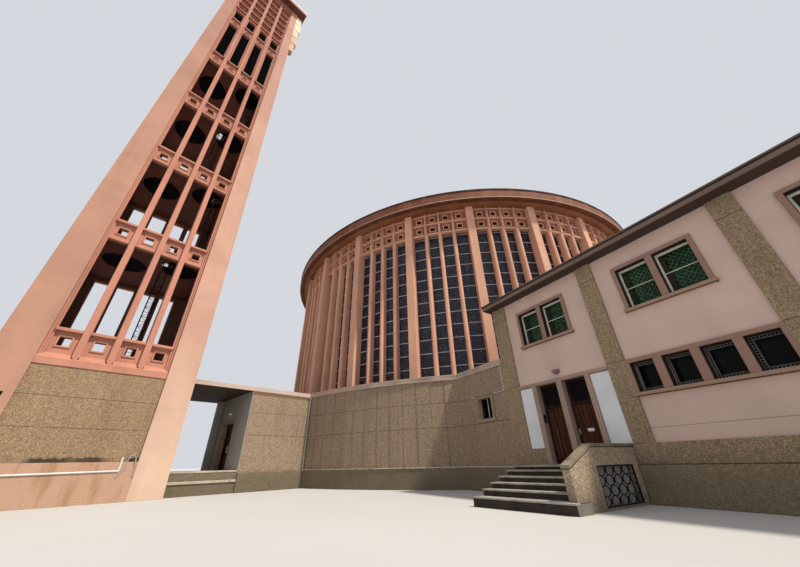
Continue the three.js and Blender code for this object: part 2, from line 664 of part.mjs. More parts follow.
// Presbytery end, cut corner and back walls in one run around the house
function houseBack() {
  const room = solid(prism(houseOutline(evenly(HOUSE_WALL)), -1, HOUSE_WALL_TOP + 1));
  const shell = behindFront(houseOutline(evenly(0)), 0, HOUSE_WALL_TOP).subtract(room);
  const cuts = [];
  for (const [low, high] of [LOWER_WINDOW, UPPER_WINDOW]) {
    for (const bay of [1, 2, 3]) {
      for (const [from, to] of UPPER_LIGHTS) {
        const start = PILASTERS[bay][1];
        cuts.push(block(start + from, start + to, HOUSE_DEPTH - 1, HOUSE_DEPTH + 1, low, high));
      }
    }
  }
  const body = cuts.map(solid).reduce((wall, cut) => wall.subtract(cut), shell);
  addMesh('presbytery_back_wall', geometryOf(body), render, house);
}

function houseFloors() {
  const room = houseOutline(evenly(HOUSE_WALL + GAP));
  const wallBack = FACE_BACK + HOUSE_WALL;
  const threshold = block(DOORS[0][0] + GAP, DOORS[1][1] - GAP, 0, wallBack + 0.1, 0, FLOOR_TOP);
  const ground = behindFront(room, 0, FLOOR_TOP).add(solid(threshold));
  addMesh('presbytery_ground_floor', geometryOf(ground), greyConcrete, house);
  const upper = behindFront(room, UPPER_FLOOR[0], UPPER_FLOOR[1]);
  addMesh('presbytery_upper_floor', geometryOf(upper), greyConcrete, house);
}

function houseRoof() {
  const outline = houseOutline(HOUSE_OVERHANGS.map((overhang) => -overhang));
  const roof = prism(outline, HOUSE_WALL_TOP + GAP, HOUSE_ROOF_TOP);
  addMesh('presbytery_roof', roof, roofing, house);
}

// A sheet of glass behind each storey's windows
function houseGlass() {
  const frontFace = FACE_BACK + HOUSE_WALL + GAP;
  const backFace = HOUSE_DEPTH - HOUSE_WALL - GAP;
  const thick = 0.05;
  const lap = 0.12;
  const last = PILASTERS[4][0];
  const sheet = (s0, face0, face1, [low, high]) => block(s0, last, face0, face1, low - lap, high + lap);
  const panes = {
    presbytery_glass_lower: sheet(PILASTERS[1][1] - 0.1, frontFace, frontFace + thick, LOWER_WINDOW),
    presbytery_glass_upper: sheet(PILASTERS[0][1], frontFace, frontFace + thick, UPPER_WINDOW),
    presbytery_back_glass_lower: sheet(PILASTERS[1][1] + 0.5, backFace - thick, backFace, LOWER_WINDOW),
    presbytery_back_glass_upper: sheet(PILASTERS[1][1] + 0.5, backFace - thick, backFace, UPPER_WINDOW),
  };
  for (const [name, pane] of Object.entries(panes)) {
    addMesh(name, pane, darkGlass, house);
  }
}

function houseDoors() {
  const inside = FACE_BACK + 0.24;
  DOORS.forEach(([low, high], index) => {
    const outline = rect(low + DOOR_CLEARANCE, high - DOOR_CLEARANCE, inside - DOOR_LEAF, inside);
    const hinge = index === 0 ? low + DOOR_CLEARANCE : high - DOOR_CLEARANCE;
    addMesh(`presbytery_door_${index + 1}`, doorLeaf(outline, [hinge, inside], DOOR_HEAD), wood, house);
  });
}

// Landing with five steps before it, turned a little from the front; the lowest wraps the flank wall's end
function houseSteps() {
  const right = FLANK.left - GAP;
  const front = (k, s) => [s, -(k + STEP_TURN * (s - STEP_PIVOT))];
  const pieces = STEP_FRONTS.map((k, index) => {
    const outline = [front(k, STEPS_LEFT), front(k, right), [right, -GAP], [STEPS_LEFT, -GAP]];
    return prism(outline, 0, STEP_TOPS[index]);
  });
  const lowest = STEP_FRONTS[0];
  const behind = -FLANK.end - GAP;
  const beside = FLANK.right + GAP;
  const tail = [front(lowest, FLANK.left - 0.1), front(lowest, STEP_END), [STEP_END, -STEP_WRAP],
    [beside, -STEP_WRAP], [beside, behind], [FLANK.left - 0.1, behind]];
  pieces.push(prism(tail, 0, STEP_TOPS[0]));
  addMesh('presbytery_steps', geometryOf(union(pieces)), greyConcrete, house);
}

function flankWall() {
  const { left, right, level, end, top, low } = FLANK;
  const profile = [[-end, 0], [-GAP, 0], [-GAP, top], [-level, top], [-end, low]];
  const { near, far, low: grilleLow, top: grilleTop } = GRILLE;
  const opening = rect(-far, -near, grilleLow, grilleTop);
  const body = pierced(solid(elevation(profile, -right, -left)), [opening]);
  addMesh('flank_wall', geometryOf(body).rotateZ(Math.PI / 2), aggregate, house);
  const y0 = -right + 0.08;
  const grille = elevation(rect(-far + GAP, -near - GAP, grilleLow + GAP, grilleTop - GAP), y0, y0 + 0.05);
  addMesh('flank_grille', grille.rotateZ(Math.PI / 2), iron, house);
}

naveFloor();
for (let segment = 0; segment < DRUM_SEGMENTS; segment += 1) {
  drumWall(segment);
}
stainedGlass(0);
stainedGlass(1);
naveRoof();
galleryWalls();
windowedGalleryWall();
galleryRoofs();
portico();
towerPiers();
towerBase();
QUARTER_TURNS.forEach(towerGrid);
towerFloors();
towerLouvres();
towerLadder();
towerTop();
houseFront();
houseBack();
houseFloors();
houseRoof();
houseGlass();
houseDoors();
houseSteps();
flankWall();

export default church;
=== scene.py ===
# Looks for a round modern church with its bell tower, portico and presbytery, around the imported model.
# Sizes are in metres of the real building, and SCALE turns them into metres of the model.
import math

import bmesh
import bpy
from bpy.props import FloatProperty, FloatVectorProperty, IntProperty, PointerProperty
from mathutils import Matrix, Vector


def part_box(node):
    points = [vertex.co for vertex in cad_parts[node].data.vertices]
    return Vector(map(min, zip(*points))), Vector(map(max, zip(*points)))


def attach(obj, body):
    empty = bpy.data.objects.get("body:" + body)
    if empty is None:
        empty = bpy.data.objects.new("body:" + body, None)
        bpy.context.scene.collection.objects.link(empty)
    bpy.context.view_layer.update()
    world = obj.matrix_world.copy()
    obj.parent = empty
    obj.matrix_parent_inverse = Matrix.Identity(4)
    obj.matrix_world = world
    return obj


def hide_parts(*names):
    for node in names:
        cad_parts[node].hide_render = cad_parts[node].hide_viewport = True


bl_info = {
    "name": "Round church with bell tower",
    "version": (1, 0, 0),
    "blender": (4, 5, 0),
    "location": "3D View > Sidebar > Church",
    "description": "Finishes and fine pieces of a modern church, its tower and its presbytery",
    "category": "Add Mesh",
}

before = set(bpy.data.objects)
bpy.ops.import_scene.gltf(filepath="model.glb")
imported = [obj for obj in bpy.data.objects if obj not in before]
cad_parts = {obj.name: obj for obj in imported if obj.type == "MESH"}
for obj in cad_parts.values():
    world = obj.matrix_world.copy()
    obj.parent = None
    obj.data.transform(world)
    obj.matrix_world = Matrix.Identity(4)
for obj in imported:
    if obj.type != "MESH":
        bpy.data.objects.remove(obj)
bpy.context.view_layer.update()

# Scale and clearances
SCALE = 0.5
SKIN = 0.006

# Levels above the lowest ground
FLOOR_TOP = 1.03
PLINTH_TOP = 1.5
COPING_LOW = 5.2
COPING_TOP = 5.45
LEDGE_TOP = 0.98
WALL_JOINTS = (2.78, 4.0)

# Drum
BAYS = 24
BAY_ANGLE = 360 / BAYS
FIRST_RIB = 174.3
RIB_BACK_R = 19.22
RIB_FACE_R = 20.0
RIB_WIDTH = 0.6
FIN_ANGLES = (4.18, 7.5, 10.82)
LIGHT_FOOT = 5.75
LIGHT_HEAD = 17.55
RIB_TOP = 19.72
CLAUSTRA_R = 19.5
CLAUSTRA_ROWS = ((17.68, 18.58), (18.74, 19.62))
CLAUSTRA_RAILS = ((17.5, 17.68), (18.58, 18.74), (19.62, 19.72))
CORNICE_R = 20.89
CORNICE_LOW = 19.8
CORNICE_TOP = 20.65
DOME_TOP = 22.15
CORNICE_PANELS = 144
LIGHTS_IN_BAY = 4
FULL_RING_STEPS = 144

# Gallery and portico
GALLERY_R = 22.0
GALLERY_BACK_R = 21.9
ARC_STEP = 5.0
CORNER_A = 185.1
CORNER_B = 212.6
HOUSE_MEETS_RING = 226
PORTICO_MEETS_RING = 529.8
PORTICO_NEAR_Y = -1.95
PORTICO_FAR_Y = 3.9
PORTICO_END_X = -29.08
PORTICO_FACE_X = -25.85
PORTICO_CEILING = 5.19

# Tower
TOWER_X = -32.84
TOWER_Y = 1.38
TOWER_HALF = 3.77
TOWER_LEAN = 0.01322
FIELD_HALF = 2.4
TOWER_WALL_TOP = 49.5
TOWER_ROOF_TOP = 49.95
COLUMNS = 4
STAGES = ((6.87, 12.04), (13.3, 18.42), (19.7, 24.84), (26.1, 31.34), (32.6, 38.2))
SMALL_OPENINGS = (39.3, 41.05)
SPANDREL_HOLES = (6.3, 12.67, 19.06, 25.47)
STRIP_HALF = 0.15
TOP_STRIP_HALF = 0.25
TOWER_FLOORS = (12.25, 18.62, 25.05, 31.55)
TOWER_FLOOR_THICK = 0.25
FLOOR_HOLES = ((-1.21, -0.4, 1.1), (1.44, -1.55, 1.03))
LADDER_PLACES = (0.7, 2.03)
LADDER_Y = -1.5
LADDER_WIDTH = 0.36
LADDER_ABOVE = 1.1
LADDER_LAP = 0.08

# Presbytery: s runs along the front, d into the house
HOUSE_X = -19.425
HOUSE_Y = -15.113
HOUSE_ANGLE = -104.39
HOUSE_LENGTH = 18.6
HOUSE_DEPTH = 8.0
HOUSE_CUT_D = 4.0
HOUSE_CUT_S = 1.9
HOUSE_PLINTH = 1.56
HOUSE_WALL_TOP = 7.95
HOUSE_ROOF_TOP = 8.22
HOUSE_OVERHANGS = (0.45, 0.2, 0.45, 0.2, 0.2)
PILASTERS = ((0, 0.75), (4.7, 5.3), (9.1, 9.7), (13.5, 14.1), (17.85, 18.6))
DOORS = ((1.64, 2.6), (2.82, 3.8))
DOOR_HEAD = 3.9
LOWER_WINDOW = (2.98, 3.92)
LOWER_LIGHTS = ((0.11, 0.81), (1.05, 1.79), (2.02, 2.76), (2.98, 3.7))
UPPER_WINDOW = (5.65, 7.17)
UPPER_LIGHTS = ((0.77, 1.78), (1.98, 3.0))

# Steps and flank wall: k runs out from the front
STEP_FRONTS = (3.95, 3.5, 3.1, 2.7, 2.3, 1.9)
STEP_TOPS = (0.245, 0.42, 0.58, 0.74, 0.9, 1.02)
STEP_TURN = -0.154
STEP_PIVOT = 2.5
STEPS_LEFT = 1.6
STEP_END = 4.72
FLANK_LEFT = 4.42
FLANK_RIGHT = 4.65
FLANK_LEVEL = 2.25
FLANK_END = 3.43
FLANK_TOP = 1.56
FLANK_LOW = 1.05
GRILLE = (0.35, 2.24, 0.06, 1.02)

# Finishes: thin joints in a coat, and the levels where a coat changes
LIFT_SEAM = 0.018
DRUM_LIFT = 3.1
TOWER_LIFT = 1.25
TOWER_JOINTS = (2.77, 3.98)
HOUSE_JOINTS = (1.0, 4.05, 7.25)
RENDER_JOINTS = (1.96,)
PORTICO_SOFFIT = 5.21
PORTICO_BROW = 5.0
# Brown of a band along the top of the portico walls, above PORTICO_BROW
DAMP_BROWN = (0.20, 0.115, 0.07)

# Frames of the building's parts
CHURCH = Matrix.Scale(SCALE, 4)
TOWER = CHURCH @ Matrix.Translation((TOWER_X, TOWER_Y, 0))
QUARTER = Matrix.Rotation(math.pi / 2, 4, "Z")


def turned(degrees):
    return Matrix.Rotation(math.radians(degrees), 4, "Z")


HOUSE = CHURCH @ Matrix.Translation((HOUSE_X, HOUSE_Y, 0)) @ turned(HOUSE_ANGLE)


def polar(radius, degrees):
    angle = math.radians(degrees)
    return radius * math.cos(angle), radius * math.sin(angle)


def direction(azimuth, height):
    """The unit vector at an azimuth and a height over the horizon."""
    level = math.cos(height)
    return Vector((level * math.cos(azimuth), level * math.sin(azimuth), math.sin(height)))


def house_point(s, d):
    """A point of the presbytery's plan in the church's plan."""
    return (turned(HOUSE_ANGLE) @ Vector((s, d, 0))).xy + Vector((HOUSE_X, HOUSE_Y))


def wall_frame():
    """The straight gallery wall: X along it from the ring, -Y out of it; and its length."""
    start = Vector(polar(GALLERY_R, CORNER_B))
    run = house_point(0, 0) - start
    place = Matrix.Translation((start.x, start.y, 0)) @ turned(math.degrees(math.atan2(run.y, run.x)))
    return CHURCH @ place, run.length


def tower_face(turn):
    """One side of the tower: X along it, Y into it, leaning in with height."""
    lean = Matrix.Identity(4)
    lean[1][2] = TOWER_LEAN
    return TOWER @ turned(90 * turn) @ lean @ Matrix.Translation((0, -TOWER_HALF, 0))


class TowerSettings(bpy.types.PropertyGroup):
    rung_pitch: FloatProperty(
        name="Rung pitch", description="Height from one rung of the ladder to the next",
        default=0.3, unit="LENGTH",
    )
    blade_pitch: FloatProperty(
        name="Louvre pitch", description="Height from one louvre blade to the next",
        default=0.2, unit="LENGTH",
    )
    grid_rows: IntProperty(name="Top grid rows", description="Rows of panels in the top grid", default=6)
    grating_pitch: FloatProperty(
        name="Grating pitch", description="From one bar of a floor grating to the next",
        default=0.085, unit="LENGTH",
    )


class DrumSettings(bpy.types.PropertyGroup):
    fin_width: FloatProperty(
        name="Fin width", description="Width of a fin between two lights", default=0.3, unit="LENGTH"
    )
    pane_height: FloatProperty(
        name="Pane height", description="Height of one pane of stained glass", default=0.975, unit="LENGTH"
    )
    claustra_hole: FloatProperty(
        name="Claustra hole", description="Side of the square hole in a claustra cell",
        default=0.38, unit="LENGTH",
    )
    roof_seams: IntProperty(name="Roof seams", description="Standing seams round the dome", default=48)


class PresbyterySettings(bpy.types.PropertyGroup):
    scroll_radius: FloatProperty(
        name="Scroll radius", description="Radius of one ring of the window grilles",
        default=0.037, unit="LENGTH",
    )
    mesh_radius: FloatProperty(
        name="Mesh radius", description="Half the length of a ring of the grille by the steps", default=0.19,
        unit="LENGTH",
    )
    boards: IntProperty(name="Door boards", description="Upright boards in a door leaf", default=5)


class FinishSettings(bpy.types.PropertyGroup):
    concrete: FloatVectorProperty(
        name="Painted concrete", description="Colour of ribs, piers and copings", subtype="COLOR", size=3,
        min=0, max=1, default=(0.72, 0.395, 0.27),
    )
    cornice: FloatVectorProperty(
        name="Cornice", description="Colour of the drum's cornice", subtype="COLOR", size=3,
        min=0, max=1, default=(0.21, 0.076, 0.042),
    )
    pebbles: FloatVectorProperty(
        name="Exposed aggregate", description="Main colour of the pebbled walls", subtype="COLOR", size=3,
        min=0, max=1, default=(0.36, 0.262, 0.18),
    )
    render: FloatVectorProperty(
        name="Render", description="Colour of the presbytery's rendered walls", subtype="COLOR", size=3,
        min=0, max=1, default=(0.58, 0.43, 0.365),
    )
    floor: FloatVectorProperty(
        name="Floor", description="Colour of the floor the building stands on", subtype="COLOR", size=3,
        min=0, max=1, default=(0.49, 0.485, 0.47),
    )


class LightSettings(bpy.types.PropertyGroup):
    key_strength: FloatProperty(name="Key light", description="Strength of the key light", default=4.4)
    key_azimuth: FloatProperty(
        name="Key azimuth", description="Direction of the key light in plan", default=math.radians(-79),
        subtype="ANGLE",
    )
    key_height: FloatProperty(
        name="Key height", description="Height of the key light over the horizon", default=math.radians(56),
        subtype="ANGLE",
    )
    fill_strength: FloatProperty(
        name="Fill light", description="Strength of the light all round", default=0.84
    )


# Mesh making
def box(bm, x, y, z, bevel=0.0, matrix=None):
    """A block between pairs of coordinates."""
    place = matrix or Matrix.Identity(4)
    centre = Vector(((x[0] + x[1]) / 2, (y[0] + y[1]) / 2, (z[0] + z[1]) / 2))
    size = Matrix.Diagonal((x[1] - x[0], y[1] - y[0], z[1] - z[0], 1))
    made = bmesh.ops.create_cube(bm, size=1.0, matrix=place @ Matrix.Translation(centre) @ size)
    if bevel:
        edges = list({edge for vert in made["verts"] for edge in vert.link_edges})
        bmesh.ops.bevel(
            bm, geom=edges, offset=bevel, offset_type="OFFSET", segments=1, profile=0.5, affect="EDGES",
            material=-1,
        )


def post(bm, angle, r, width, z, bevel=0.0):
    """A block that stands on a radius of the drum."""
    box(bm, r, (-width / 2, width / 2), z, bevel, turned(angle))


def extruded(bm, outline, run, matrix=None):
    """An outline of points swept straight along a vector."""
    place = matrix or Matrix.Identity(4)
    face = bm.faces.new([bm.verts.new(place @ Vector(point)) for point in outline])
    made = bmesh.ops.extrude_face_region(bm, geom=[face])
    verts = [item for item in made["geom"] if isinstance(item, bmesh.types.BMVert)]
    bmesh.ops.translate(bm, vec=place.to_3x3() @ Vector(run), verts=verts)


def plan(bm, outline, z, matrix=None):
    """A flat outline raised between two levels."""
    extruded(bm, [(x, y, z[0]) for x, y in outline], (0, 0, z[1] - z[0]), matrix)


def turned_ring(bm, profile, start=0.0, end=360.0, steps=FULL_RING_STEPS, matrix=None):
    """A profile of (radius, height) points spun round the vertical axis."""
    first = turned(start)
    verts = [bm.verts.new(first @ Vector((r, 0, z))) for r, z in profile]
    whole = end - start >= 360
    if whole:
        geom = verts + [bm.edges.new((verts[i - 1], verts[i])) for i in range(len(verts))]
    else:
        face = bm.faces.new(verts)
        geom = verts + list(face.edges) + [face]
    before = set(bm.verts) - set(verts)
    bmesh.ops.spin(
        bm, geom=geom, cent=(0, 0, 0), axis=(0, 0, 1), angle=math.radians(end - start), steps=steps,
        use_merge=whole,
    )
    if matrix:
        bmesh.ops.transform(bm, matrix=matrix, verts=[vert for vert in bm.verts if vert not in before])


def band(bm, r, z, start=0.0, end=360.0, steps=FULL_RING_STEPS, matrix=None):
    """A ring of rectangular section."""
    turned_ring(bm, [(r[0], z[0]), (r[1], z[0]), (r[1], z[1]), (r[0], z[1])], start, end, steps, matrix)


def arc_steps(start, end):
    return max(1, round((end - start) / ARC_STEP))


def both_sides(middle, half):
    return middle - half, middle + half


def surround(bm, x, z, hole_x, hole_z, y, bevel=0.0, matrix=None):
    """Four bars round a rectangular hole, in a wall that faces along Y."""
    box(bm, x, y, (hole_z[1], z[1]), bevel, matrix)
    box(bm, x, y, (z[0], hole_z[0]), bevel, matrix)
    box(bm, (x[0], hole_x[0]), y, hole_z, bevel, matrix)
    box(bm, (hole_x[1], x[1]), y, hole_z, bevel, matrix)


def bar(bm, start, end, radius, sides=8):
    """A round bar between two points."""
    run = Vector(end) - Vector(start)
    middle = (Vector(end) + Vector(start)) / 2
    place = Matrix.Translation(middle) @ run.to_track_quat("Z", "Y").to_matrix().to_4x4()
    bmesh.ops.create_cone(
        bm, cap_ends=True, segments=sides, radius1=radius, radius2=radius, depth=run.length, matrix=place
    )


def ring_shape(radius, thick, steps=10, sides=4):
    """A small ring round Y, kept as a mesh to be stamped."""
    bm = bmesh.new()
    section = [Matrix.Rotation(2 * math.pi * i / sides, 3, "Z") @ Vector((thick, 0, 0)) for i in range(sides)]
    verts = [bm.verts.new((radius + point.x, point.y, 0)) for point in section]
    edges = [bm.edges.new((verts[i - 1], verts[i])) for i in range(sides)]
    bmesh.ops.spin(
        bm, geom=verts + edges, cent=(0, 0, 0), axis=(0, 1, 0), angle=2 * math.pi, steps=steps, use_merge=True
    )
    return as_shape(bm, "ring")


def as_shape(bm, name):
    shape = bpy.data.meshes.new(name)
    bm.to_mesh(shape)
    bm.free()
    return shape


def stamp(bm, shape, matrix):
    """A copy of a kept shape, put in place."""
    placed = shape.copy()
    placed.transform(matrix)
    bm.from_mesh(placed)
    bpy.data.meshes.remove(placed)


def add_piece(name, bm, finish, place=CHURCH, body="church", replaces=()):
    """Puts a mesh in the model's frame, gives it its finish and rides it on its body."""
    bmesh.ops.transform(bm, matrix=place, verts=bm.verts)
    bmesh.ops.recalc_face_normals(bm, faces=bm.faces)
    piece = bpy.data.objects.new(name, as_shape(bm, name))
    piece.data.materials.append(finish)
    bpy.context.scene.collection.objects.link(piece)
    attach(piece, body)
    if replaces:
        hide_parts(*replaces)
    return piece


def dress(finish, *names):
    """Gives CAD nodes a finish."""
    for name in names:
        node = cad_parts[name]
        if not node.material_slots:
            node.data.materials.append(finish)
        for slot in node.material_slots:
            slot.material = finish


# Shader making
class Field:
    """A shader socket that adds Math nodes where it stands in an expression."""

    def __init__(self, finish, socket):
        self.finish = finish
        self.socket = socket

    def maths(self, operation, *values):
        return self.finish.node("ShaderNodeMath", {"operation": operation}, *values)

    def __add__(self, other):
        return self.maths("ADD", self, other)

    __radd__ = __add__

    def __sub__(self, other):
        return self.maths("SUBTRACT", self, other)

    def __rsub__(self, other):
        return self.maths("SUBTRACT", other, self)

    def __mul__(self, other):
        return self.maths("MULTIPLY", self, other)

    __rmul__ = __mul__

    def above(self, limit):
        return self.maths("GREATER_THAN", self, limit)

    def below(self, limit):
        return self.maths("LESS_THAN", self, limit)

    def between(self, low, high):
        return self.above(low) * self.below(high)

    def fraction(self):
        return self.maths("FRACT", self)

    def size(self):
        return self.maths("ABSOLUTE", self)

    def larger(self, other):
        return self.maths("MAXIMUM", self, other)

    def ramped(self, low, high):
        """0 under low, 1 over high, and smooth between them."""
        settings = {"interpolation_type": "SMOOTHSTEP"}
        return self.finish.node("ShaderNodeMapRange", settings, self, low, high, 0.0, 1.0)


class Finish:
    """One material, with one method that adds its nodes."""

    def __init__(self, name, roughness=0.85, metallic=0.0, place=None, gloss=0.2):
        self.material = bpy.data.materials.new(name)
        self.material.use_nodes = True
        self.nodes = self.material.node_tree.nodes
        self.links = self.material.node_tree.links
        self.shader = next(node for node in self.nodes if node.type == "BSDF_PRINCIPLED")
        self.shader.inputs["Roughness"].default_value = roughness
        self.shader.inputs["Metallic"].default_value = metallic
        self.shader.inputs["Specular IOR Level"].default_value = gloss
        at = self.node("ShaderNodeTexCoord", out=3)
        back = (place or CHURCH).inverted()
        moves = (back.to_translation(), back.to_euler(), back.to_scale())
        self.metres = self.node("ShaderNodeMapping", {"vector_type": "POINT"}, at, *moves)
        parts = self.node("ShaderNodeSeparateXYZ", {}, self.metres)
        self.x, self.y, self.z = (Field(self, parts.socket.node.outputs[i]) for i in range(3))

    def node(self, kind, settings=None, *values, out=0, named=None):
        """A node of a type, its settings first, then the values or links of its sockets."""
        made = self.nodes.new(kind)
        for key, value in (settings or {}).items():
            if key == "stops":
                ramp = made.color_ramp.elements
                while len(ramp) < len(value):
                    ramp.new(0.5)
                for element, (position, colour) in zip(ramp, value):
                    element.position = position
                    element.color = (*colour, 1.0)
            else:
                setattr(made, key, value)
        for socket, value in zip(made.inputs, values):
            self.feed(socket, value)
        for key, value in (named or {}).items():
            self.feed(made.inputs[key], value)
        return Field(self, made.outputs[out])

    def feed(self, socket, value):
        """Links a field to a socket, or sets the socket's own value."""
        if isinstance(value, Field):
            self.links.new(value.socket, socket)
        elif socket.type == "RGBA":
            socket.default_value = (*value, 1.0)
        else:
            socket.default_value = value

    def noise(self, scale, detail=3.0, stretch=(1, 1, 1), shift=0.0):
        """Noise with its scale in waves to a metre."""
        at = self.node("ShaderNodeMapping", {}, self.metres, (shift, shift, shift), (0, 0, 0), stretch)
        return self.node("ShaderNodeTexNoise", {}, named={"Vector": at, "Scale": scale, "Detail": detail})

    def cells(self, scale, out=0, stretch=(1, 1, 1), feature="F1"):
        at = self.node("ShaderNodeMapping", {}, self.metres, (0, 0, 0), (0, 0, 0), stretch)
        named = {"Vector": at, "Scale": scale}
        return self.node("ShaderNodeTexVoronoi", {"feature": feature}, out=out, named=named)

    def ramp(self, factor, *stops):
        return self.node("ShaderNodeValToRGB", {"stops": stops}, factor)

    def mix(self, factor, first, second, blend="MIX"):
        """Two colours mixed by a factor."""
        made = self.node("ShaderNodeMix", {"data_type": "RGBA", "blend_type": blend}, factor, out=2)
        sockets = made.socket.node.inputs
        self.feed(sockets[6], first)
        self.feed(sockets[7], second)
        return made

    def shade(self, colour, factor, dark):
        """A colour darkened, by a factor, to a share of itself."""
        return self.mix(factor, colour, self.mix(1.0, colour, (dark, dark, dark), "MULTIPLY"))

    def bump(self, height, distance, strength=1.0, under=None):
        named = {"Height": height, "Distance": distance * SCALE, "Strength": strength}
        if under:
            named["Normal"] = under
        return self.node("ShaderNodeBump", {}, named=named)

    def done(self, colour=None, roughness=None, normal=None):
        for name, value in (("Base Color", colour), ("Roughness", roughness), ("Normal", normal)):
            if value is not None:
                self.feed(self.shader.inputs[name], value)
        return self.material


def lighter(colour, share):
    return tuple(min(1.0, channel * share) for channel in colour)


def line_at(level, half, heights):
    """1 on thin level lines at the given heights."""
    mask = 0.0
    for height in heights:
        mask = level.between(height - half, height + half) + mask
    return mask


def rough_coat(finish, colour, streaks):
    """Patches, clouds, rain streaks and grain over a painted colour, with the grain for its bump."""
    patches = finish.noise(0.45, 4.0)
    clouds = finish.noise(2.2, 5.0, shift=7.0)
    grain = finish.noise(38.0, 2.0)
    runs = finish.noise(1.6, 4.0, (1, 1, 0.07), 3.0)
    base = finish.shade(colour, 1 - patches.ramped(0.3, 0.7), 0.86)
    cool = finish.mix(1.0, base, (0.82, 0.87, 0.95), "MULTIPLY")
    base = finish.mix(clouds.ramped(0.4, 0.8) * 0.35, base, cool)
    base = finish.shade(base, runs.ramped(0.48, 0.78) * streaks, 0.66)
    return finish.shade(base, grain.ramped(0.42, 0.7) * 0.25, 0.78), grain


def painted_concrete(name, colour, place=None, lift=0.0, streaks=0.5, crown=(), under=None, inside=None):
    """Painted board-marked concrete with lift joints, other tones with height, and painted shade below a
    given level and deep inside the tower.
    """
    finish = Finish(name, 0.82, place=place)
    for low, high, tone in crown:
        colour = finish.mix(finish.z.ramped(low, high), colour, tone)
    base, grain = rough_coat(finish, colour, streaks)
    if lift:
        seam = (finish.z * (1 / lift)).fraction().below(LIFT_SEAM / lift)
        base = finish.shade(base, seam * 0.45, 0.75)
    # Painted shade: below the edge level the colour turns to a dark one, as shade under a soffit
    if under:
        edge, dark = under
        base = finish.mix(finish.z.below(edge), base, dark)
    # Painted shade: faces deep inside the tower's shaft keep only a share of their colour
    if inside:
        half, lean, share = inside
        reach = finish.x.size().larger(finish.y.size())
        base = finish.shade(base, (reach + finish.z * lean).below(half), share)
    boards = finish.noise(6.0, 3.0, (1, 1, 0.2))
    normal = finish.bump(grain, 0.006, 0.7, finish.bump(boards, 0.012, 0.6))
    return finish.done(base, grain * 0.2 + 0.68, normal)


def exposed_aggregate(name, colour, place=None, joints=(), moss=1.1, foot=None, brow=None):
    """Washed concrete with fine pebbles, darker where damp, with a painted foot, and a brown brow above a
    level, if one is given.
    """
    finish = Finish(name, 0.9, place=place)
    stones = finish.cells(40.0, 0)
    tints = finish.node("ShaderNodeSeparateColor", {}, finish.cells(40.0, 1))
    stone = finish.ramp(
        tints, (0.0, lighter(colour, 0.6)), (0.4, lighter(colour, 0.95)), (0.75, lighter(colour, 1.25)),
        (1.0, (min(1, colour[0] * 1.5), min(1, colour[1] * 1.62), min(1, colour[2] * 1.75))),
    )
    base = finish.mix(stones.ramped(0.34, 0.62) * 0.6, stone, lighter(colour, 0.55))
    clumps = finish.noise(9.0, 4.0)
    base = finish.shade(base, clumps.ramped(0.42, 0.66) * 0.6, 0.72)
    combed = finish.noise(14.0, 3.0, (1, 1, 0.05), 1.0)
    base = finish.shade(base, combed.ramped(0.45, 0.65) * 0.4, 0.78)
    stains = finish.noise(0.8, 4.0, (1, 1, 0.25), 5.0)
    base = finish.shade(base, stains.ramped(0.5, 0.8) * 0.5, 0.66)
    if moss:
        damp = 1 - (finish.z + stains * 0.9).ramped(moss * 0.7, moss + 0.6)
        base = finish.mix(damp * 0.55, base, (0.12, 0.098, 0.064))
    if joints:
        base = finish.shade(base, line_at(finish.z, 0.014, joints), 0.45)
    if brow:
        edge, tone = brow
        base = finish.mix(finish.z.above(edge), base, tone)
    if foot:
        edge, tone = foot
        drips = finish.noise(3.0, 4.0, (1, 1, 0.15), 6.0)
        paint = finish.mix(drips.ramped(0.5, 0.7) * 0.6, tone, (0.33, 0.16, 0.07))
        soot = (finish.z + clumps * 0.35).between(edge, edge + 0.34) * stains.ramped(0.4, 0.6)
        base = finish.mix(soot * 0.85, base, (0.03, 0.026, 0.02))
        base = finish.mix(finish.z.below(edge), base, paint)
    normal = finish.bump(clumps, 0.02, 0.4, finish.bump(1 - stones, 0.02, 0.8))
    return finish.done(base, tints * 0.15 + 0.75, normal)


def smooth_render(name, colour, place=None, joints=()):
    """Fine render with a trowelled surface, faint patches and dust under its edges."""
    finish = Finish(name, 0.88, place=place)
    patches = finish.noise(0.7, 5.0)
    grain = finish.noise(60.0, 2.0)
    runs = finish.noise(1.2, 4.0, (1, 1, 0.12), 2.0)
    base = finish.mix(patches.ramped(0.3, 0.7), lighter(colour, 0.93), lighter(colour, 1.05))
    base = finish.shade(base, runs.ramped(0.5, 0.8) * 0.35, 0.84)
    base = finish.shade(base, grain.ramped(0.45, 0.75) * 0.2, 0.87)
    if joints:
        base = finish.shade(base, line_at(finish.z, 0.012, joints), 0.6)
    normal = finish.bump(finish.noise(5.0, 3.0), 0.006, 0.4, finish.bump(grain, 0.004, 0.5))
    return finish.done(base, grain * 0.1 + 0.8, normal)


def plain_concrete(name, colour, place=None, wear=0.6):
    """Bare concrete with pores, lichen and dark dirt."""
    finish = Finish(name, 0.9, place=place)
    patches = finish.noise(1.3, 6.0)
    pores = finish.noise(30.0, 3.0)
    dirt = finish.noise(4.0, 5.0, shift=9.0)
    base = finish.mix(patches.ramped(0.3, 0.7), lighter(colour, 0.8), lighter(colour, 1.15))
    base = finish.shade(base, dirt.ramped(0.48, 0.68) * wear, 0.5)
    base = finish.shade(base, pores.ramped(0.5, 0.7) * 0.4, 0.7)
    return finish.done(base, pores * 0.15 + 0.78, finish.bump(pores, 0.008, 0.7))


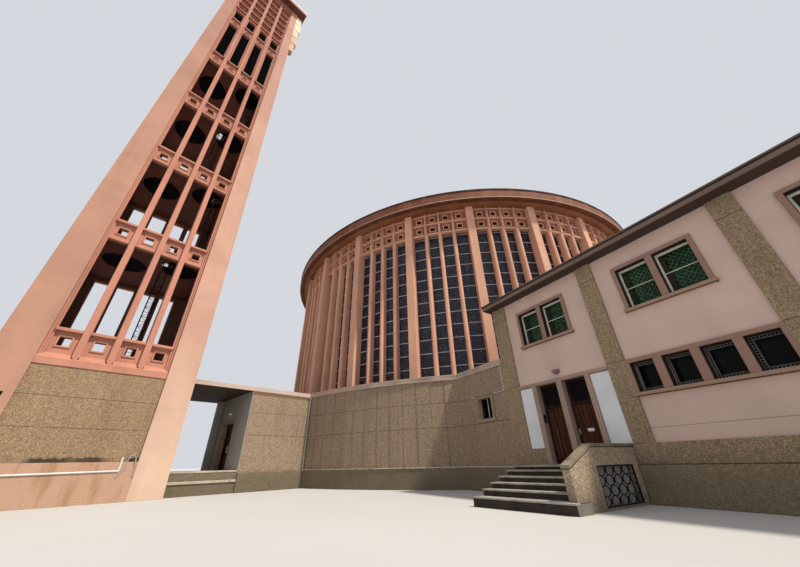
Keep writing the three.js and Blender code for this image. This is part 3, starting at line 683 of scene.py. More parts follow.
def stained_glass(name):
    """Small dark pieces of blue, violet and grey glass set in concrete."""
    finish = Finish(name, 0.3, gloss=0.3)
    tint = finish.node("ShaderNodeSeparateColor", {}, finish.cells(13.0, 1, (1, 1, 0.85)))
    glass = finish.ramp(
        tint, (0.0, (0.006, 0.006, 0.012)), (0.3, (0.010, 0.012, 0.028)), (0.5, (0.028, 0.016, 0.032)),
        (0.66, (0.016, 0.028, 0.085)), (0.82, (0.03, 0.04, 0.075)), (0.93, (0.065, 0.08, 0.14)),
        (1.0, (0.15, 0.17, 0.23)),
    )
    lead = finish.cells(13.0, 0, (1, 1, 0.85), "DISTANCE_TO_EDGE").below(0.08)
    broad = finish.noise(0.6, 3.0)
    base = finish.mix(lead, glass, (0.022, 0.02, 0.022))
    base = finish.shade(base, broad.ramped(0.35, 0.7) * 0.5, 0.5)
    return finish.done(base, tint * 0.25 + 0.2, finish.bump(finish.noise(5.0, 2.0), 0.03, 0.5))


def window_glass(name, tint, net=0.0):
    """Window glass with dark rooms behind it; a net curtain shows as dotted crossing lines."""
    finish = Finish(name, 0.06, place=HOUSE, gloss=0.07)
    clouds = finish.noise(1.5, 4.0)
    base = finish.mix(clouds.ramped(0.35, 0.7), lighter(tint, 0.45), tint)
    if net:
        rise = finish.x * net + finish.z * net
        fall = finish.x * net - finish.z * net
        lines = rise.fraction().below(0.2).larger(fall.fraction().below(0.2))
        dots = finish.noise(30.0, 1.0).above(0.5)
        base = finish.mix(lines * dots * 0.55, base, (0.14, 0.30, 0.17))
    return finish.done(base, clouds * 0.1 + 0.1, finish.bump(clouds, 0.01, 0.2))


def dark_wood(name, dark, light, place=None):
    """Stained boards with grain along them."""
    finish = Finish(name, 0.6, place=place, gloss=0.1)
    grain = finish.noise(14.0, 5.0, (1, 1, 0.06))
    broad = finish.noise(2.0, 3.0, (1, 1, 0.3), 4.0)
    base = finish.mix(grain.ramped(0.3, 0.7), dark, light)
    base = finish.shade(base, broad.ramped(0.4, 0.7) * 0.5, 0.6)
    return finish.done(base, grain * 0.25 + 0.5, finish.bump(grain, 0.003, 0.8))


def coated_metal(name, colour, roughness=0.45, metallic=0.0, wear=0.35):
    """Painted or bare metal with dulled patches."""
    finish = Finish(name, roughness, metallic)
    patches = finish.noise(3.0, 5.0)
    specks = finish.noise(45.0, 2.0)
    base = finish.mix(patches.ramped(0.35, 0.75) * wear, colour, lighter(colour, 0.6))
    return finish.done(base, specks * 0.2 + roughness - 0.1, finish.bump(specks, 0.002, 0.3))


def roof_sheet(name, colour):
    """Weathered roof covering."""
    finish = Finish(name, 0.6)
    patches = finish.noise(0.8, 5.0)
    grit = finish.noise(25.0, 3.0)
    base = finish.mix(patches.ramped(0.3, 0.7), lighter(colour, 0.75), lighter(colour, 1.25))
    base = finish.shade(base, grit.ramped(0.45, 0.7) * 0.4, 0.7)
    return finish.done(base, grit * 0.3 + 0.45, finish.bump(grit, 0.01, 0.6))


def cornice_paint(name, colour):
    """Weathered brown paint: pale and pink patches on the face, and an orange-brown underside."""
    finish = Finish(name, 0.8)
    angle = finish.y.maths("ARCTAN2", finish.y, finish.x)
    turns = angle * (CORNICE_PANELS / 2 / math.pi)
    joint = turns.fraction().below(0.03)
    runs = finish.noise(1.3, 5.0, (1, 1, 0.1))
    patches = finish.noise(0.5, 4.0, (1, 1, 0.2), shift=3.0)
    grain = finish.noise(30.0, 3.0)
    face = finish.mix(patches.ramped(0.5, 0.72) * 0.5, colour, (0.25, 0.15, 0.11))
    blush = finish.noise(0.7, 3.0, (1, 1, 0.1), 11.0)
    face = finish.mix(blush.ramped(0.5, 0.66) * 0.5, face, (0.33, 0.13, 0.082))
    face = finish.shade(face, runs.ramped(0.42, 0.75) * 0.6, 0.55)
    face = finish.shade(face, joint * 0.6, 0.5)
    below = finish.mix(patches.ramped(0.3, 0.7), (0.20, 0.075, 0.03), (0.28, 0.115, 0.055))
    base = finish.mix(finish.z.below(CORNICE_LOW + 0.01), face, below)
    return finish.done(base, grain * 0.2 + 0.65, finish.bump(grain, 0.008, 0.6))


finishes = {}


def make_finishes(colours):
    """All finishes, by name; a crown is a row of (low, high, tone) that takes over from low to high."""
    concrete = tuple(colours.concrete)
    pebbles = tuple(colours.pebbles)
    warm_pebbles = (pebbles[0] * 1.06, pebbles[1], pebbles[2] * 0.86)
    render = tuple(colours.render)

    def tinted(*shares):
        return tuple(channel * share for channel, share in zip(concrete, shares))

    crown = ((0.0, 9.0, tinted(0.82, 0.88, 0.95)), (10.0, 44.0, tinted(0.68, 0.66, 0.73)))
    # The left pier, tower_pier_4, is painted darker as shade, though its paint is the same as the others
    dull_crown = ((0.0, 9.0, tinted(0.64, 0.64, 0.66)), (10.0, 44.0, tinted(0.56, 0.52, 0.56)))
    grid_crown = ((6.0, 44.0, tinted(0.6, 0.46, 0.46)),)
    cream_crown = ((42.5, 46.5, (0.78, 0.65, 0.50)),)
    # Painted shade inside the tower's shaft: reach from the middle, lean with height, and the share of colour
    # kept
    shaft = (TOWER_HALF - 0.55, TOWER_LEAN, 0.36)
    finishes.update(
        concrete=painted_concrete("drum_concrete", concrete, lift=DRUM_LIFT, streaks=0.35),
        tower_concrete=painted_concrete("tower_concrete", tinted(0.94, 1.22, 1.32), TOWER, TOWER_LIFT, 0.35,
                                        crown, inside=shaft),
        dull_pier=painted_concrete("tower_dull_pier", tinted(0.64, 0.64, 0.66), TOWER, TOWER_LIFT, 0.35,
                                   dull_crown, inside=shaft),
        tower_grid=painted_concrete("tower_grid_concrete", tinted(0.76, 0.63, 0.64), TOWER, TOWER_LIFT, 0.45,
                                    grid_crown, inside=shaft),
        panel=painted_concrete("claustra_concrete", lighter(concrete, 0.8), streaks=0.6),
        plate=painted_concrete("claustra_plate_concrete", tinted(0.5, 0.34, 0.33), streaks=0.6),
        # Sunk panels of the top grid and rims of the floor holes, painted dark as shade
        recess=painted_concrete("recess_concrete", tinted(0.22, 0.12, 0.11)),
        # A near-black band behind the claustra holes, painted shade
        void=painted_concrete("claustra_void_concrete", tinted(0.035, 0.03, 0.035)),
        # Undersides of the tower's floors and roof, and the backing behind the pale blocks, painted dark as
        # shade
        soffit=painted_concrete("soffit_concrete", tinted(0.2, 0.12, 0.12)),
        slat=painted_concrete("slat_concrete", tinted(0.55, 0.38, 0.36)),
        coping=painted_concrete("coping_concrete", (0.46, 0.345, 0.28), streaks=0.7),
        jamb=painted_concrete("jamb_concrete", (0.36, 0.25, 0.20), streaks=0.6),
        # Its underside, below PORTICO_SOFFIT, is painted near-black as shade
        portico_roof=painted_concrete("portico_roof_concrete", (0.56, 0.44, 0.38),
                                      under=(PORTICO_SOFFIT, (0.045, 0.025, 0.016))),
        cornice=cornice_paint("cornice_paint", tuple(colours.cornice)),
        aggregate=exposed_aggregate("wall_aggregate", pebbles, joints=WALL_JOINTS),
        portico_aggregate=exposed_aggregate("portico_aggregate", lighter(pebbles, 1.1), joints=WALL_JOINTS,
                                            brow=(PORTICO_BROW, DAMP_BROWN)),
        tower_aggregate=exposed_aggregate("tower_aggregate", warm_pebbles, TOWER, TOWER_JOINTS, 0.0,
                                          foot=(PLINTH_TOP, (0.49, 0.31, 0.215))),
        mossy_aggregate=exposed_aggregate("mossy_aggregate", (0.26, 0.21, 0.14), moss=1.2),
        house_aggregate=exposed_aggregate("presbytery_aggregate", (0.37, 0.272, 0.17), HOUSE,
                                          HOUSE_JOINTS, 1.5),
        flank_aggregate=exposed_aggregate("flank_aggregate", (0.47, 0.37, 0.255), HOUSE, moss=0.7),
        render=smooth_render("presbytery_render", render, HOUSE, RENDER_JOINTS),
        window_concrete=smooth_render("window_concrete", (0.29, 0.175, 0.135), HOUSE),
        sill=smooth_render("sill_concrete", (0.32, 0.205, 0.15), HOUSE),
        fascia=smooth_render("fascia_board", (0.17, 0.12, 0.092), HOUSE),
        # The presbytery roof slab, its underside painted near-black as shade
        eave=smooth_render("eave_concrete", (0.065, 0.042, 0.032), HOUSE),
        # Near-black strips of painted shade in the window reveals and under the sills
        reveal=smooth_render("window_reveal", (0.03, 0.019, 0.015), HOUSE),
        white_panel=smooth_render("white_panel", (0.66, 0.68, 0.70), HOUSE),
        grey=plain_concrete("grey_concrete", (0.36, 0.33, 0.29)),
        ledge=plain_concrete("ledge_concrete", (0.44, 0.40, 0.32)),
        tread=plain_concrete("tread_concrete", (0.34, 0.325, 0.28)),
        flank_cap=plain_concrete("flank_cap_concrete", (0.245, 0.197, 0.138), wear=0.7),
        riser=plain_concrete("riser_concrete", (0.045, 0.034, 0.027)),
        step_end=plain_concrete("step_end_concrete", (0.16, 0.143, 0.124)),
        porch=smooth_render("porch_render", (0.33, 0.32, 0.30)),
        stained=stained_glass("stained_glass"),
        green_glass=window_glass("curtained_glass", (0.022, 0.05, 0.026), 6.0),
        dark_glass=window_glass("dark_glass", (0.006, 0.006, 0.007)),
        wood=dark_wood("door_wood", (0.012, 0.006, 0.004), (0.04, 0.017, 0.01)),
        boards=dark_wood("door_boards", (0.024, 0.008, 0.004), (0.1, 0.037, 0.018)),
        iron=coated_metal("black_iron", (0.006, 0.006, 0.007), 0.85),
        grille=coated_metal("grille_iron", (0.2, 0.19, 0.175), 0.7),
        white=coated_metal("white_paint", (0.66, 0.67, 0.64), 0.45),
        olive=coated_metal("window_paint", (0.62, 0.63, 0.54), 0.6),
        bars=coated_metal("glass_bars", (0.62, 0.60, 0.57), 0.6),
        hose=coated_metal("hose_grey", (0.34, 0.31, 0.27), 0.7),
        pipe=coated_metal("pipe_paint", (0.27, 0.29, 0.24), 0.6),
        dark_metal=coated_metal("dark_flashing", (0.03, 0.022, 0.019), 0.8),
        edge_metal=coated_metal("roof_edge_metal", (0.13, 0.10, 0.085), 0.8),
        roofing=roof_sheet("roof_covering", (0.10, 0.085, 0.075)),
        cream=painted_concrete("cream_blocks", (0.60, 0.40, 0.30), TOWER, 0.0, 0.3, cream_crown),
        brass=coated_metal("brass", (0.55, 0.42, 0.2), 0.35, 0.9),
        lamp=coated_metal("lamp_glass", (0.2, 0.15, 0.135), 0.4),
    )


class ChurchOperator:
    """What every piece's operator shares."""

    bl_options = {"REGISTER", "UNDO"}


class CHURCH_OT_stage(ChurchOperator, bpy.types.Operator):
    """Camera, soft light, pale floor and background"""

    bl_idname = "church.stage"
    bl_label = "Stage"

    # The camera was solved from the photograph, in metres of the real building
    EYE = (-33.467, -22.328, 1.2)
    AZIMUTH = 44.4
    PITCH = 29.716
    ROLL = -1.4245
    FOCAL_SHARE = 312.93 / 800
    SHIFT = (-0.0031, 0.0007)
    SENSOR = 36.0
    CLIP = (0.05, 2000.0)
    SUN_ANGLE = 3.5
    SUN_COLOUR = (1.0, 0.92, 0.81)
    SKY_COLOUR = (0.79, 0.82, 0.87, 1.0)
    FLOOR_HALF = 400.0
    FLOOR_DROP = 0.002

    def execute(self, context):
        light = context.scene.church_light
        self.add_camera(context)
        self.add_floor(context)
        sun = bpy.data.objects.new("key_light", bpy.data.lights.new("key_light", "SUN"))
        sun.data.energy = light.key_strength
        sun.data.angle = math.radians(self.SUN_ANGLE)
        sun.data.color = self.SUN_COLOUR
        sun.rotation_euler = direction(light.key_azimuth, light.key_height).to_track_quat("Z", "Y").to_euler()
        context.scene.collection.objects.link(sun)
        world = bpy.data.worlds.new("soft_sky")
        world.use_nodes = True
        sky = world.node_tree.nodes["Background"].inputs
        sky["Color"].default_value = self.SKY_COLOUR
        sky["Strength"].default_value = light.fill_strength
        context.scene.world = world
        context.scene.view_settings.view_transform = "Standard"
        return {"FINISHED"}

    def add_camera(self, context):
        camera = bpy.data.objects.new("camera", bpy.data.cameras.new("camera"))
        azimuth, pitch, roll = (math.radians(angle) for angle in (self.AZIMUTH, self.PITCH, self.ROLL))
        forward = direction(azimuth, pitch)
        level = Vector((math.sin(azimuth), -math.cos(azimuth), 0))
        above = level.cross(forward)
        right = math.cos(roll) * level + math.sin(roll) * above
        up = right.cross(forward)
        turn = Matrix((right, up, -forward)).transposed().to_4x4()
        camera.matrix_world = Matrix.Translation(CHURCH @ Vector(self.EYE)) @ turn
        camera.data.sensor_width = self.SENSOR
        camera.data.lens = self.SENSOR * self.FOCAL_SHARE
        camera.data.shift_x, camera.data.shift_y = self.SHIFT
        camera.data.clip_start, camera.data.clip_end = self.CLIP
        context.scene.collection.objects.link(camera)
        context.scene.camera = camera

    def add_floor(self, context):
        bm = bmesh.new()
        bmesh.ops.create_grid(bm, x_segments=1, y_segments=1, size=self.FLOOR_HALF)
        bmesh.ops.translate(bm, vec=(0, 0, -self.FLOOR_DROP), verts=bm.verts)
        floor = bpy.data.objects.new("floor", as_shape(bm, "floor"))
        finish = Finish("floor", 0.9)
        tone = tuple(context.scene.church_finish.floor)
        clouds = finish.noise(0.15, 3.0)
        base = finish.mix(clouds.ramped(0.3, 0.7), lighter(tone, 0.97), lighter(tone, 1.02))
        floor.data.materials.append(finish.done(base))
        context.scene.collection.objects.link(floor)


class CHURCH_OT_drum(ChurchOperator, bpy.types.Operator):
    """Ribs, fins, ring beam and claustra of the drum"""

    bl_idname = "church.drum"
    bl_label = "Drum"

    BEVEL = 0.02
    NOSE_STEPS = 5
    FIN_FACE_R = 19.78
    BLADE_FACE_R = 19.84
    BLADE_HALVES = (0.085, 0.025)
    RING_BEAM = ((19.2, 19.9), (4.6, 5.68))
    RAIL_R = (19.3, 19.7)
    BACK_R = (19.22, 19.28)
    LIP = 0.075
    GLASS_BAR_R = (19.19, 19.235)
    GLASS_BAR_HALF = 0.02

    def execute(self, context):
        drum = context.scene.church_drum
        concrete = finishes["concrete"]
        walls = [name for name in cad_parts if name.startswith("drum_wall_")]
        bm = bmesh.new()
        for bay in range(BAYS):
            angle = FIRST_RIB + bay * BAY_ANGLE
            post(bm, angle, (RIB_BACK_R, RIB_FACE_R), RIB_WIDTH, (FLOOR_TOP + SKIN, RIB_TOP), self.BEVEL)
        add_piece("drum_ribs", bm, concrete, replaces=walls)

        bm = bmesh.new()
        for bay in range(BAYS):
            for offset in FIN_ANGLES:
                self.fin(bm, FIRST_RIB + bay * BAY_ANGLE + offset, drum.fin_width)
        add_piece("drum_fins", bm, concrete)

        bm = bmesh.new()
        band(bm, *self.RING_BEAM)
        add_piece("drum_ring_beam", bm, finishes["panel"])
        self.claustra(drum.claustra_hole)
        dress(finishes["stained"], "stained_glass_1", "stained_glass_2")
        self.glass_bars(drum.pane_height)
        return {"FINISHED"}

    def fin(self, bm, angle, width):
        """A fin with a rounded nose between the lights, and a thin pointed blade over them."""
        half = width / 2
        turns = [math.pi * (i / self.NOSE_STEPS - 0.5) for i in range(self.NOSE_STEPS + 1)]
        nose = [(self.FIN_FACE_R - half + half * math.cos(turn), half * math.sin(turn)) for turn in turns]
        outline = [(RIB_BACK_R, -half), *nose, (RIB_BACK_R, half)]
        plan(bm, outline, (LIGHT_FOOT - 0.1, LIGHT_HEAD + 0.1), turned(angle))
        foot, point = self.BLADE_HALVES
        corners = ((-foot, LIGHT_HEAD), (foot, LIGHT_HEAD), (point, RIB_TOP), (-point, RIB_TOP))
        blade = [(RIB_BACK_R, y, z) for y, z in corners]
        extruded(bm, blade, (self.BLADE_FACE_R - RIB_BACK_R, 0, 0), turned(angle))

    def light_edges(self, radius):
        """Angles in a bay where its four lights begin and end, on a given radius."""
        edge = math.degrees(RIB_WIDTH / 2 / radius)
        return [edge, *FIN_ANGLES, BAY_ANGLE - edge]

    def claustra(self, hole):
        """Two rows of pierced panels with raised square frames, between three rails."""
        edges = self.light_edges(CLAUSTRA_R)
        middles = [(edges[i] + edges[i + 1]) / 2 for i in range(LIGHTS_IN_BAY)]
        width = math.radians(edges[1] - edges[0]) * CLAUSTRA_R
        low, high = CLAUSTRA_ROWS[0]
        half = hole / 2
        rise = (high - low) / 2 + 0.04
        bm = bmesh.new()
        surround(bm, (-width / 2, width / 2), (-rise, rise), (-half, half), (-half, half),
                 (-CLAUSTRA_R, -CLAUSTRA_R + 0.12), 0, QUARTER)
        plate_shape = as_shape(bm, "cell_plate")
        bm = bmesh.new()
        outer = half + self.LIP
        surround(bm, (-outer, outer), (-outer, outer), (-half, half), (-half, half),
                 (-CLAUSTRA_R - 0.09, -CLAUSTRA_R + 0.02), 0.012, QUARTER)
        frame_shape = as_shape(bm, "cell_frame")
        panels = bmesh.new()
        lips = bmesh.new()
        rails = bmesh.new()
        for bay in range(BAYS):
            start = FIRST_RIB + bay * BAY_ANGLE
            for middle in middles:
                for row_low, row_high in CLAUSTRA_ROWS:
                    lift = Matrix.Translation((0, 0, (row_low + row_high) / 2))
                    stamp(panels, plate_shape, turned(start + middle) @ lift)
                    stamp(lips, frame_shape, turned(start + middle) @ lift)
                for rail in CLAUSTRA_RAILS:
                    post(rails, start + middle, self.RAIL_R, width, rail, self.BEVEL)
        bpy.data.meshes.remove(plate_shape)
        bpy.data.meshes.remove(frame_shape)
        add_piece("drum_claustra", panels, finishes["plate"])
        add_piece("drum_claustra_frames", lips, finishes["concrete"])
        add_piece("drum_rails", rails, finishes["concrete"])
        # Painted shade: a near-black band behind the claustra holes
        bm = bmesh.new()
        band(bm, self.BACK_R, (LIGHT_HEAD, RIB_TOP))
        add_piece("drum_claustra_back", bm, finishes["void"])

    def glass_bars(self, pane):
        """Thin level bars across each light, a pane apart."""
        bm = bmesh.new()
        edges = self.light_edges(RIB_BACK_R)
        count = int((LIGHT_HEAD - LIGHT_FOOT) / pane)
        for bay in range(BAYS):
            for i in range(LIGHTS_IN_BAY):
                angle = FIRST_RIB + bay * BAY_ANGLE + (edges[i] + edges[i + 1]) / 2
                width = math.radians(edges[i + 1] - edges[i]) * RIB_BACK_R
                for step in range(1, count + 1):
                    levels = both_sides(LIGHT_FOOT + step * pane, self.GLASS_BAR_HALF)
                    post(bm, angle, self.GLASS_BAR_R, width, levels)
        add_piece("stained_glass_bars", bm, finishes["bars"])


class CHURCH_OT_roof(ChurchOperator, bpy.types.Operator):
    """Covering, seams, flashing and edge strips of the drum's roof"""

    bl_idname = "church.roof"
    bl_label = "Drum roof"

    HUB_R = 0.02
    SHEET_INSET = 0.06
    SHEET = (-0.01, 0.03)
    SEAM_CLEAR = 1.2
    SEAM_HALF = 0.015
    SEAM_HEIGHT = 0.05

    def execute(self, context):
        dress(finishes["cornice"], "nave_roof")
        bm = bmesh.new()
        rise = (DOME_TOP - CORNICE_TOP) / CORNICE_R
        edge = CORNICE_R - self.SHEET_INSET
        low = CORNICE_TOP + self.SHEET_INSET * rise
        below, over = self.SHEET
        turned_ring(bm, [(self.HUB_R, DOME_TOP + below), (edge, low + below), (edge, low + over),
                         (self.HUB_R, DOME_TOP + over)])
        slope = math.atan(rise)
        seam = (-edge / math.cos(slope) + self.SEAM_CLEAR, 0)
        for i in range(context.scene.church_drum.roof_seams):
            place = turned(360 * i / context.scene.church_drum.roof_seams)
            place = place @ Matrix.Translation((edge, 0, low + 0.02)) @ Matrix.Rotation(slope, 4, "Y")
            box(bm, seam, (-self.SEAM_HALF, self.SEAM_HALF), (0, self.SEAM_HEIGHT), 0, place)
        add_piece("nave_roof_covering", bm, finishes["roofing"])
        bm = bmesh.new()
        band(bm, (CORNICE_R - 0.1, CORNICE_R + 0.035), (CORNICE_TOP - 0.07, CORNICE_TOP + 0.06))
        add_piece("nave_roof_flashing", bm, finishes["dark_metal"])
        bm = bmesh.new()
        band(bm, (19.98, 20.12), (CORNICE_LOW - 0.06, CORNICE_LOW + 0.01))
        band(bm, (CORNICE_R - 0.03, CORNICE_R + 0.012), (CORNICE_LOW - 0.01, CORNICE_LOW + 0.05))
        add_piece("nave_cornice_edges", bm, finishes["coping"])
        return {"FINISHED"}


class CHURCH_OT_gallery(ChurchOperator, bpy.types.Operator):
    """Walls, coping, ledge, window, pipes and covering of the gallery"""

    bl_idname = "church.gallery"
    bl_label = "Gallery"

    ARCS = ((CORNER_A, CORNER_B), (HOUSE_MEETS_RING, PORTICO_MEETS_RING))
    BASE_TOP = LEDGE_TOP - 0.05
    PANEL_ANGLE = 2.1
    STRAIGHT_PANELS = 7
    JOINT = 0.014
    JOINT_LEVELS = (LEDGE_TOP, COPING_LOW - 0.02)
    WINDOW = ((1.44, 2.36), (2.95, 3.9))
    WINDOW_POST = 1.9
    SURROUND_WIDTH = 0.12
    SURROUND_DEPTH = (-0.05, 0.3)
    CASEMENT_DEPTH = (0.2, 0.25)
    FITTING_DEPTH = (0.18, 0.2)
    FELT_R = (20.04, 21.8)
    FELT_HALF = 0.02
    PIPE_R = 0.05
    PIPE_SIDES = 12
    PIPE_CLIPS = (1.6, 3.0, 4.5)
    CONDUIT_R = 0.014
    CONDUIT_RUN = 2.3
    CONDUIT_LOW = 4.02

    def execute(self, context):
        names = [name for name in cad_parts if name.startswith("gallery_wall_")]
        dress(finishes["aggregate"], *names)
        dress(finishes["grey"], "nave_floor")
        dress(finishes["coping"], "gallery_roof_1", "gallery_roof_2", "gallery_roof_3")
        self.ledge()
        self.joints()
        self.window()
        self.covering()
        self.pipes()
        return {"FINISHED"}

    def ledge(self):
        """A mossy base that stands a little proud, under a thin pale ledge."""
        wall, length = wall_frame()
        for name, out, levels, finish, slot in (
            ("gallery_base", 0.11, (0, self.BASE_TOP), "mossy_aggregate", "aggregate"),
            ("gallery_ledge", 0.14, (self.BASE_TOP, LEDGE_TOP), "ledge", "grey_concrete"),
        ):
            bm = bmesh.new()
            for start, end in self.ARCS:
                band(bm, (GALLERY_BACK_R, GALLERY_R + out), levels, start, end, arc_steps(start, end))
            add_piece(name, bm, finishes[finish])
            bm = bmesh.new()
            box(bm, (0.03, length - 0.03), (-out, 0.1), levels)
            add_piece(f"{name}_straight", bm, finishes[finish], wall)

    def joints(self):
        """Thin open joints between the wall's panels."""
        wall, length = wall_frame()
        bm = bmesh.new()
        for start, end in self.ARCS:
            count = round((end - start) / self.PANEL_ANGLE)
            for i in range(1, count):
                angle = start + (end - start) * i / count
                post(bm, angle, (GALLERY_BACK_R, GALLERY_R + SKIN / 2), self.JOINT, self.JOINT_LEVELS)
        add_piece("gallery_wall_joints", bm, finishes["mossy_aggregate"])
        bm = bmesh.new()
        window_left, window_right = self.WINDOW[0]
        for i in range(1, self.STRAIGHT_PANELS):
            x = length * i / self.STRAIGHT_PANELS
            if not window_left - 0.24 < x < window_right + 0.24:
                box(bm, both_sides(x, self.JOINT / 2), (-SKIN / 2, 0.05), self.JOINT_LEVELS)
        add_piece("gallery_straight_joints", bm, finishes["mossy_aggregate"], wall)

    def window(self):
        """The small window's surround, two casements, the left one with wide stiles, and white fittings."""
        wall, _ = wall_frame()
        (left, right), (low, high) = self.WINDOW
        wide = self.SURROUND_WIDTH
        bm = bmesh.new()
        surround(bm, (left - wide, right + wide), (low - wide, high + wide),
                 (left + SKIN, right - SKIN), (low + SKIN, high - SKIN), self.SURROUND_DEPTH, 0.012)
        add_piece("gallery_window_surround", bm, finishes["coping"], wall)
        bm = bmesh.new()
        post = self.WINDOW_POST
        surround(bm, (left, post), (low, high), (left + 0.09, post - 0.08), (low + 0.09, high - 0.09),
                 self.CASEMENT_DEPTH, 0.006)
        surround(bm, (post, right), (low, high), (post + 0.04, right - 0.05), (low + 0.05, high - 0.05),
                 self.CASEMENT_DEPTH, 0.006)
        add_piece("gallery_window_casement", bm, finishes["wood"], wall)
        bm = bmesh.new()
        box(bm, both_sides(post, 0.015), self.FITTING_DEPTH, (low + 0.02, high - 0.02), 0.004)
        box(bm, (post + 0.24, right - 0.06), self.FITTING_DEPTH, (low + 0.03, low + 0.11), 0.004)
        add_piece("gallery_window_bar", bm, finishes["white"], wall)
        dress(finishes["dark_glass"], "gallery_window")

    def covering(self):
        """Felt on the gallery's roof inside its raised coping."""
        wall, length = wall_frame()
        bm = bmesh.new()
        band(bm, self.FELT_R, both_sides(COPING_TOP, self.FELT_HALF))
        add_piece("gallery_roof_covering", bm, finishes["roofing"])
        bm = bmesh.new()
        profile = [(21.76, COPING_TOP - 0.05), (22.07, COPING_TOP - 0.05), (22.07, COPING_TOP + 0.03),
                   (21.76, COPING_TOP + 0.05)]
        for start, end in self.ARCS:
            turned_ring(bm, profile, start, end, arc_steps(start, end))
        add_piece("gallery_coping_cap", bm, finishes["coping"])
        bm = bmesh.new()
        box(bm, (0.0, length + 0.02), (-0.07, 0.25), (COPING_TOP - 0.05, COPING_TOP + 0.04), 0.01)
        add_piece("gallery_straight_coping_cap", bm, finishes["coping"], wall)

    def pipes(self):
        """The downpipe with its clips and hopper, and the thin conduit on the straight wall."""
        wall, length = wall_frame()
        x, y = polar(GALLERY_R + 0.09, CORNER_A + 0.2)
        bm = bmesh.new()
        bar(bm, (x, y, LEDGE_TOP), (x, y, COPING_LOW + 0.06), self.PIPE_R, self.PIPE_SIDES)
        for level in self.PIPE_CLIPS:
            bar(bm, (x, y, level), (x, y, level + 0.05), self.PIPE_R + 0.015, self.PIPE_SIDES)
        hopper = Matrix.Translation((x, y, COPING_LOW - 0.1))
        bmesh.ops.create_cone(bm, cap_ends=True, segments=self.PIPE_SIDES, radius1=0.06, radius2=0.12,
                              depth=0.2, matrix=hopper)
        add_piece("gallery_downpipe", bm, finishes["pipe"])
        bm = bmesh.new()
        end, y, low = length - 0.12, -0.02, self.CONDUIT_LOW
        bar(bm, (end, y, COPING_LOW), (end, y, low), self.CONDUIT_R)
        bar(bm, (end + 0.01, y, low), (end - self.CONDUIT_RUN, y, low), self.CONDUIT_R)
        add_piece("gallery_conduit", bm, finishes["white"], wall)


